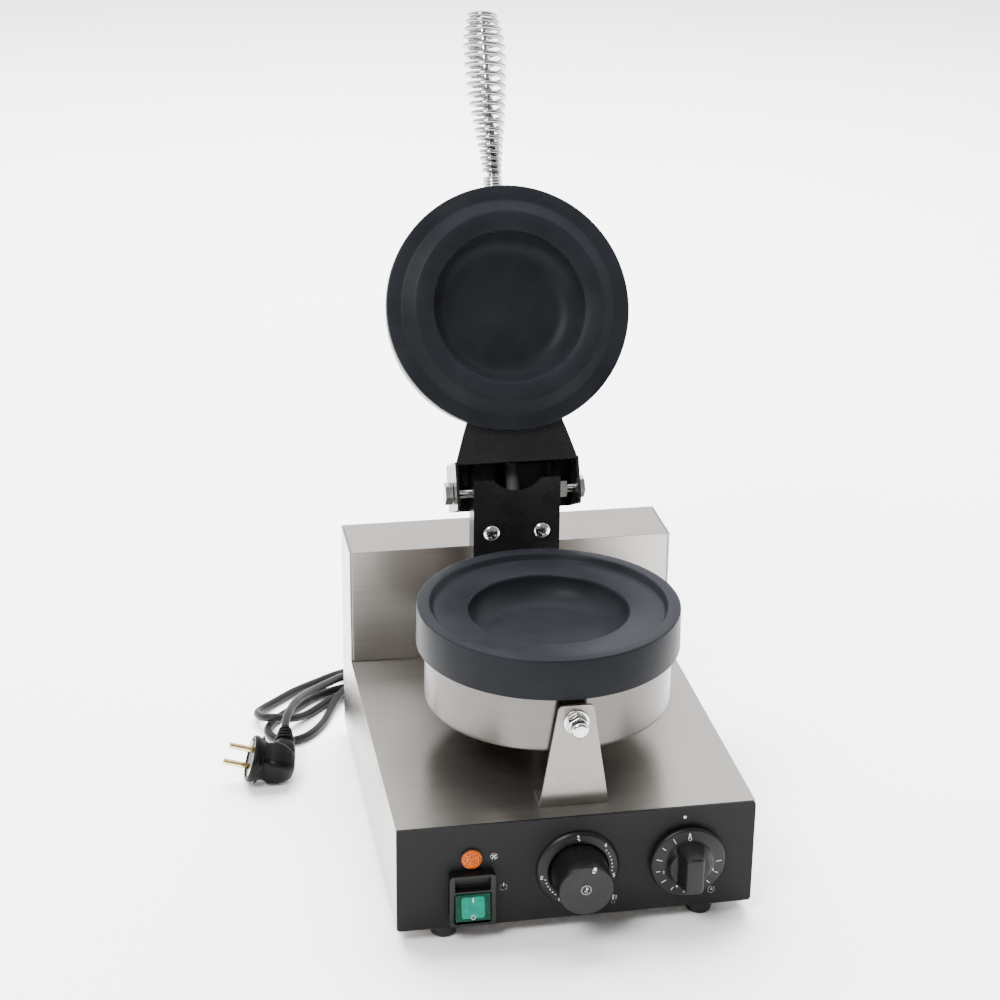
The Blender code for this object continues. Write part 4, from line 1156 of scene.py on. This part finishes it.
def make_tie():
    """A twist tie round the folded strands behind the machine."""
    x = -0.078  # where the strands run side by side
    outline = rounded(0.0112, 0.0066, 0.0045, (0.3838, 0.0072), 6)
    loop = [ON_BENCH @ Vector((x, y, max(z, 0.0004))) for y, z in outline]
    half_wide, thick = 0.0022, 0.0005
    centre = sum(loop, Vector()) / len(loop)
    shape = bmesh.new()
    rings = []
    for point in loop:
        out = (point - centre).normalized() * thick
        out.z = max(out.z, 0.0)
        section = []
        for side, push in ((-1, 0), (1, 0), (1, 1), (-1, 1)):
            section.append(shape.verts.new(point + out * push + Vector((side * half_wide, 0, 0))))
        rings.append(section)
    for i, low in enumerate(rings):
        high = rings[(i + 1) % len(rings)]
        for k in range(4):
            j = (k + 1) % 4
            shape.faces.new((low[k], low[j], high[j], high[k]))
    return put("cord_tie", mesh_from(shape, "cord_tie"), "black_rubber", "base", WORLD)


# ---------------------------------------------------------------- studio
CAMERA_AT = (-0.2957, -1.2789, 0.8572)  # in the body's coordinates
CAMERA_AZIMUTH, CAMERA_PITCH, CAMERA_ROLL = (math.radians(a) for a in (-10.572, 22.609, 0.683))
CAMERA_LENS = 80.1
ROOM_LIGHT, BACKDROP_LIGHT = 0.36, 2.5
FLOOR_HALF = 12
FLOOR_DROP = 0.0004  # keeps the floor clear of the feet
BACKDROP_EDGE = (-0.55, 0.35)  # from straight behind the camera, -1, to straight ahead, 1


def make_camera():
    level, rise = math.cos(CAMERA_PITCH), math.sin(CAMERA_PITCH)
    back = Vector((math.sin(CAMERA_AZIMUTH) * level, -math.cos(CAMERA_AZIMUTH) * level, rise))
    right = (-back).cross(Vector((0, 0, 1))).normalized()
    up = back.cross(right)
    c, s = math.cos(CAMERA_ROLL), math.sin(CAMERA_ROLL)
    right, up = right * c + up * s, up * c - right * s
    data = bpy.data.cameras.new("camera")
    data.lens = CAMERA_LENS
    data.sensor_width = 36
    made = bpy.data.objects.new("camera", data)
    bpy.context.collection.objects.link(made)
    axes = Matrix((right, up, back)).transposed().to_4x4()
    made.matrix_world = Matrix.Translation(BODY @ Vector(CAMERA_AT)) @ axes
    bpy.context.scene.camera = made


def softbox(name, at, aim, size, power):
    data = bpy.data.lights.new(name, "AREA")
    data.shape = "RECTANGLE"
    data.size, data.size_y = size
    data.energy = power
    made = bpy.data.objects.new(name, data)
    bpy.context.collection.objects.link(made)
    direction = Vector(aim) - Vector(at)
    made.location = at
    made.rotation_euler = direction.to_track_quat("-Z", "Y").to_euler()
    return made


def make_studio():
    floor = bmesh.new()
    bmesh.ops.create_grid(floor, x_segments=1, y_segments=1, size=FLOOR_HALF)
    bmesh.ops.translate(floor, verts=floor.verts, vec=(0, 0, -FLOOR_DROP))
    data = mesh_from(floor, "floor")
    pale = Finish("floor", Roughness=0.75)
    clouds = pale.spread(pale.noise((3, 3, 3), 2.0), 0.0, 1.0)
    pale.colours(clouds, (0.85, 0.85, 0.85), (0.87, 0.87, 0.87))
    data.materials.append(pale.made)
    made = bpy.data.objects.new("floor", data)
    bpy.context.collection.objects.link(made)
    world = bpy.data.worlds.new("studio")
    bpy.context.scene.world = world
    world.use_nodes = True
    tree = world.node_tree
    nodes, links = tree.nodes, tree.links
    sky = nodes["Background"]
    sky.inputs["Color"].default_value = (0.985, 0.99, 1.0, 1.0)
    # A white backdrop behind the machine, a dim room in front of it.
    direction = nodes.new("ShaderNodeTexCoord")
    parts = nodes.new("ShaderNodeSeparateXYZ")
    links.new(direction.outputs["Generated"], parts.inputs["Vector"])
    backdrop = ranged(tree, parts.outputs["Y"], *BACKDROP_EDGE, ROOM_LIGHT, BACKDROP_LIGHT)
    backdrop.interpolation_type = "SMOOTHSTEP"
    links.new(backdrop.outputs["Result"], sky.inputs["Strength"])
    softbox("key", (-1.1, -1.3, 2.0), (0, 0, 0.2), (0.9, 0.9), 80)
    # The overhead bank lights the sweep and is flagged off, so that the steel doesn't mirror it.
    softbox("overhead", (0.0, 1.5, 2.6), (0, 0.6, 0), (3.2, 2.4), 620).visible_glossy = False
    softbox("right", (1.9, 0.1, 1.0), (0, 0, 0.25), (0.8, 1.4), 5)


# ---------------------------------------------------------------- what stays as the CAD has it
KEPT = {
    "bottom_plate": "stainless",
    "indicator_body": "inner_plastic",
    "switch_body": "inner_plastic",
    "thermostat_body": "inner_plastic",
    "thermostat_shaft": "chrome",
    "thermostat_bulb": "chrome",
    "timer_body": "inner_plastic",
    "timer_shaft": "chrome",
    "terminal_block": "inner_plastic",
    "lower_heater": "chrome",
    "upper_heater": "chrome",
    "lower_insulation": "fibre",
    "upper_insulation": "fibre",
    "heater_conduit": "stainless_turned",
    "front_stud": "chrome",
    "rear_stud": "chrome",
    "cord_gland": "black_rubber",
}


def finish_kept():
    for node, look in KEPT.items():
        data = frame["nodes"][node].data
        data.materials.clear()
        data.materials.append(LOOKS[look])
        data.shade_smooth()
        data.set_sharp_from_angle(angle=math.radians(35))


make_camera()
cord, cord_exit = make_cord()
plug = make_plug()
tie = make_tie()
finish_kept()
make_sheet_metal()
make_lower_pan()
make_upper_pan()
make_cap_nut()
make_screws()
make_feet()
make_lamp()
make_rocker()
make_thermostat()
make_timer()
make_panel_marks()
make_handle()
make_lead()
make_studio()
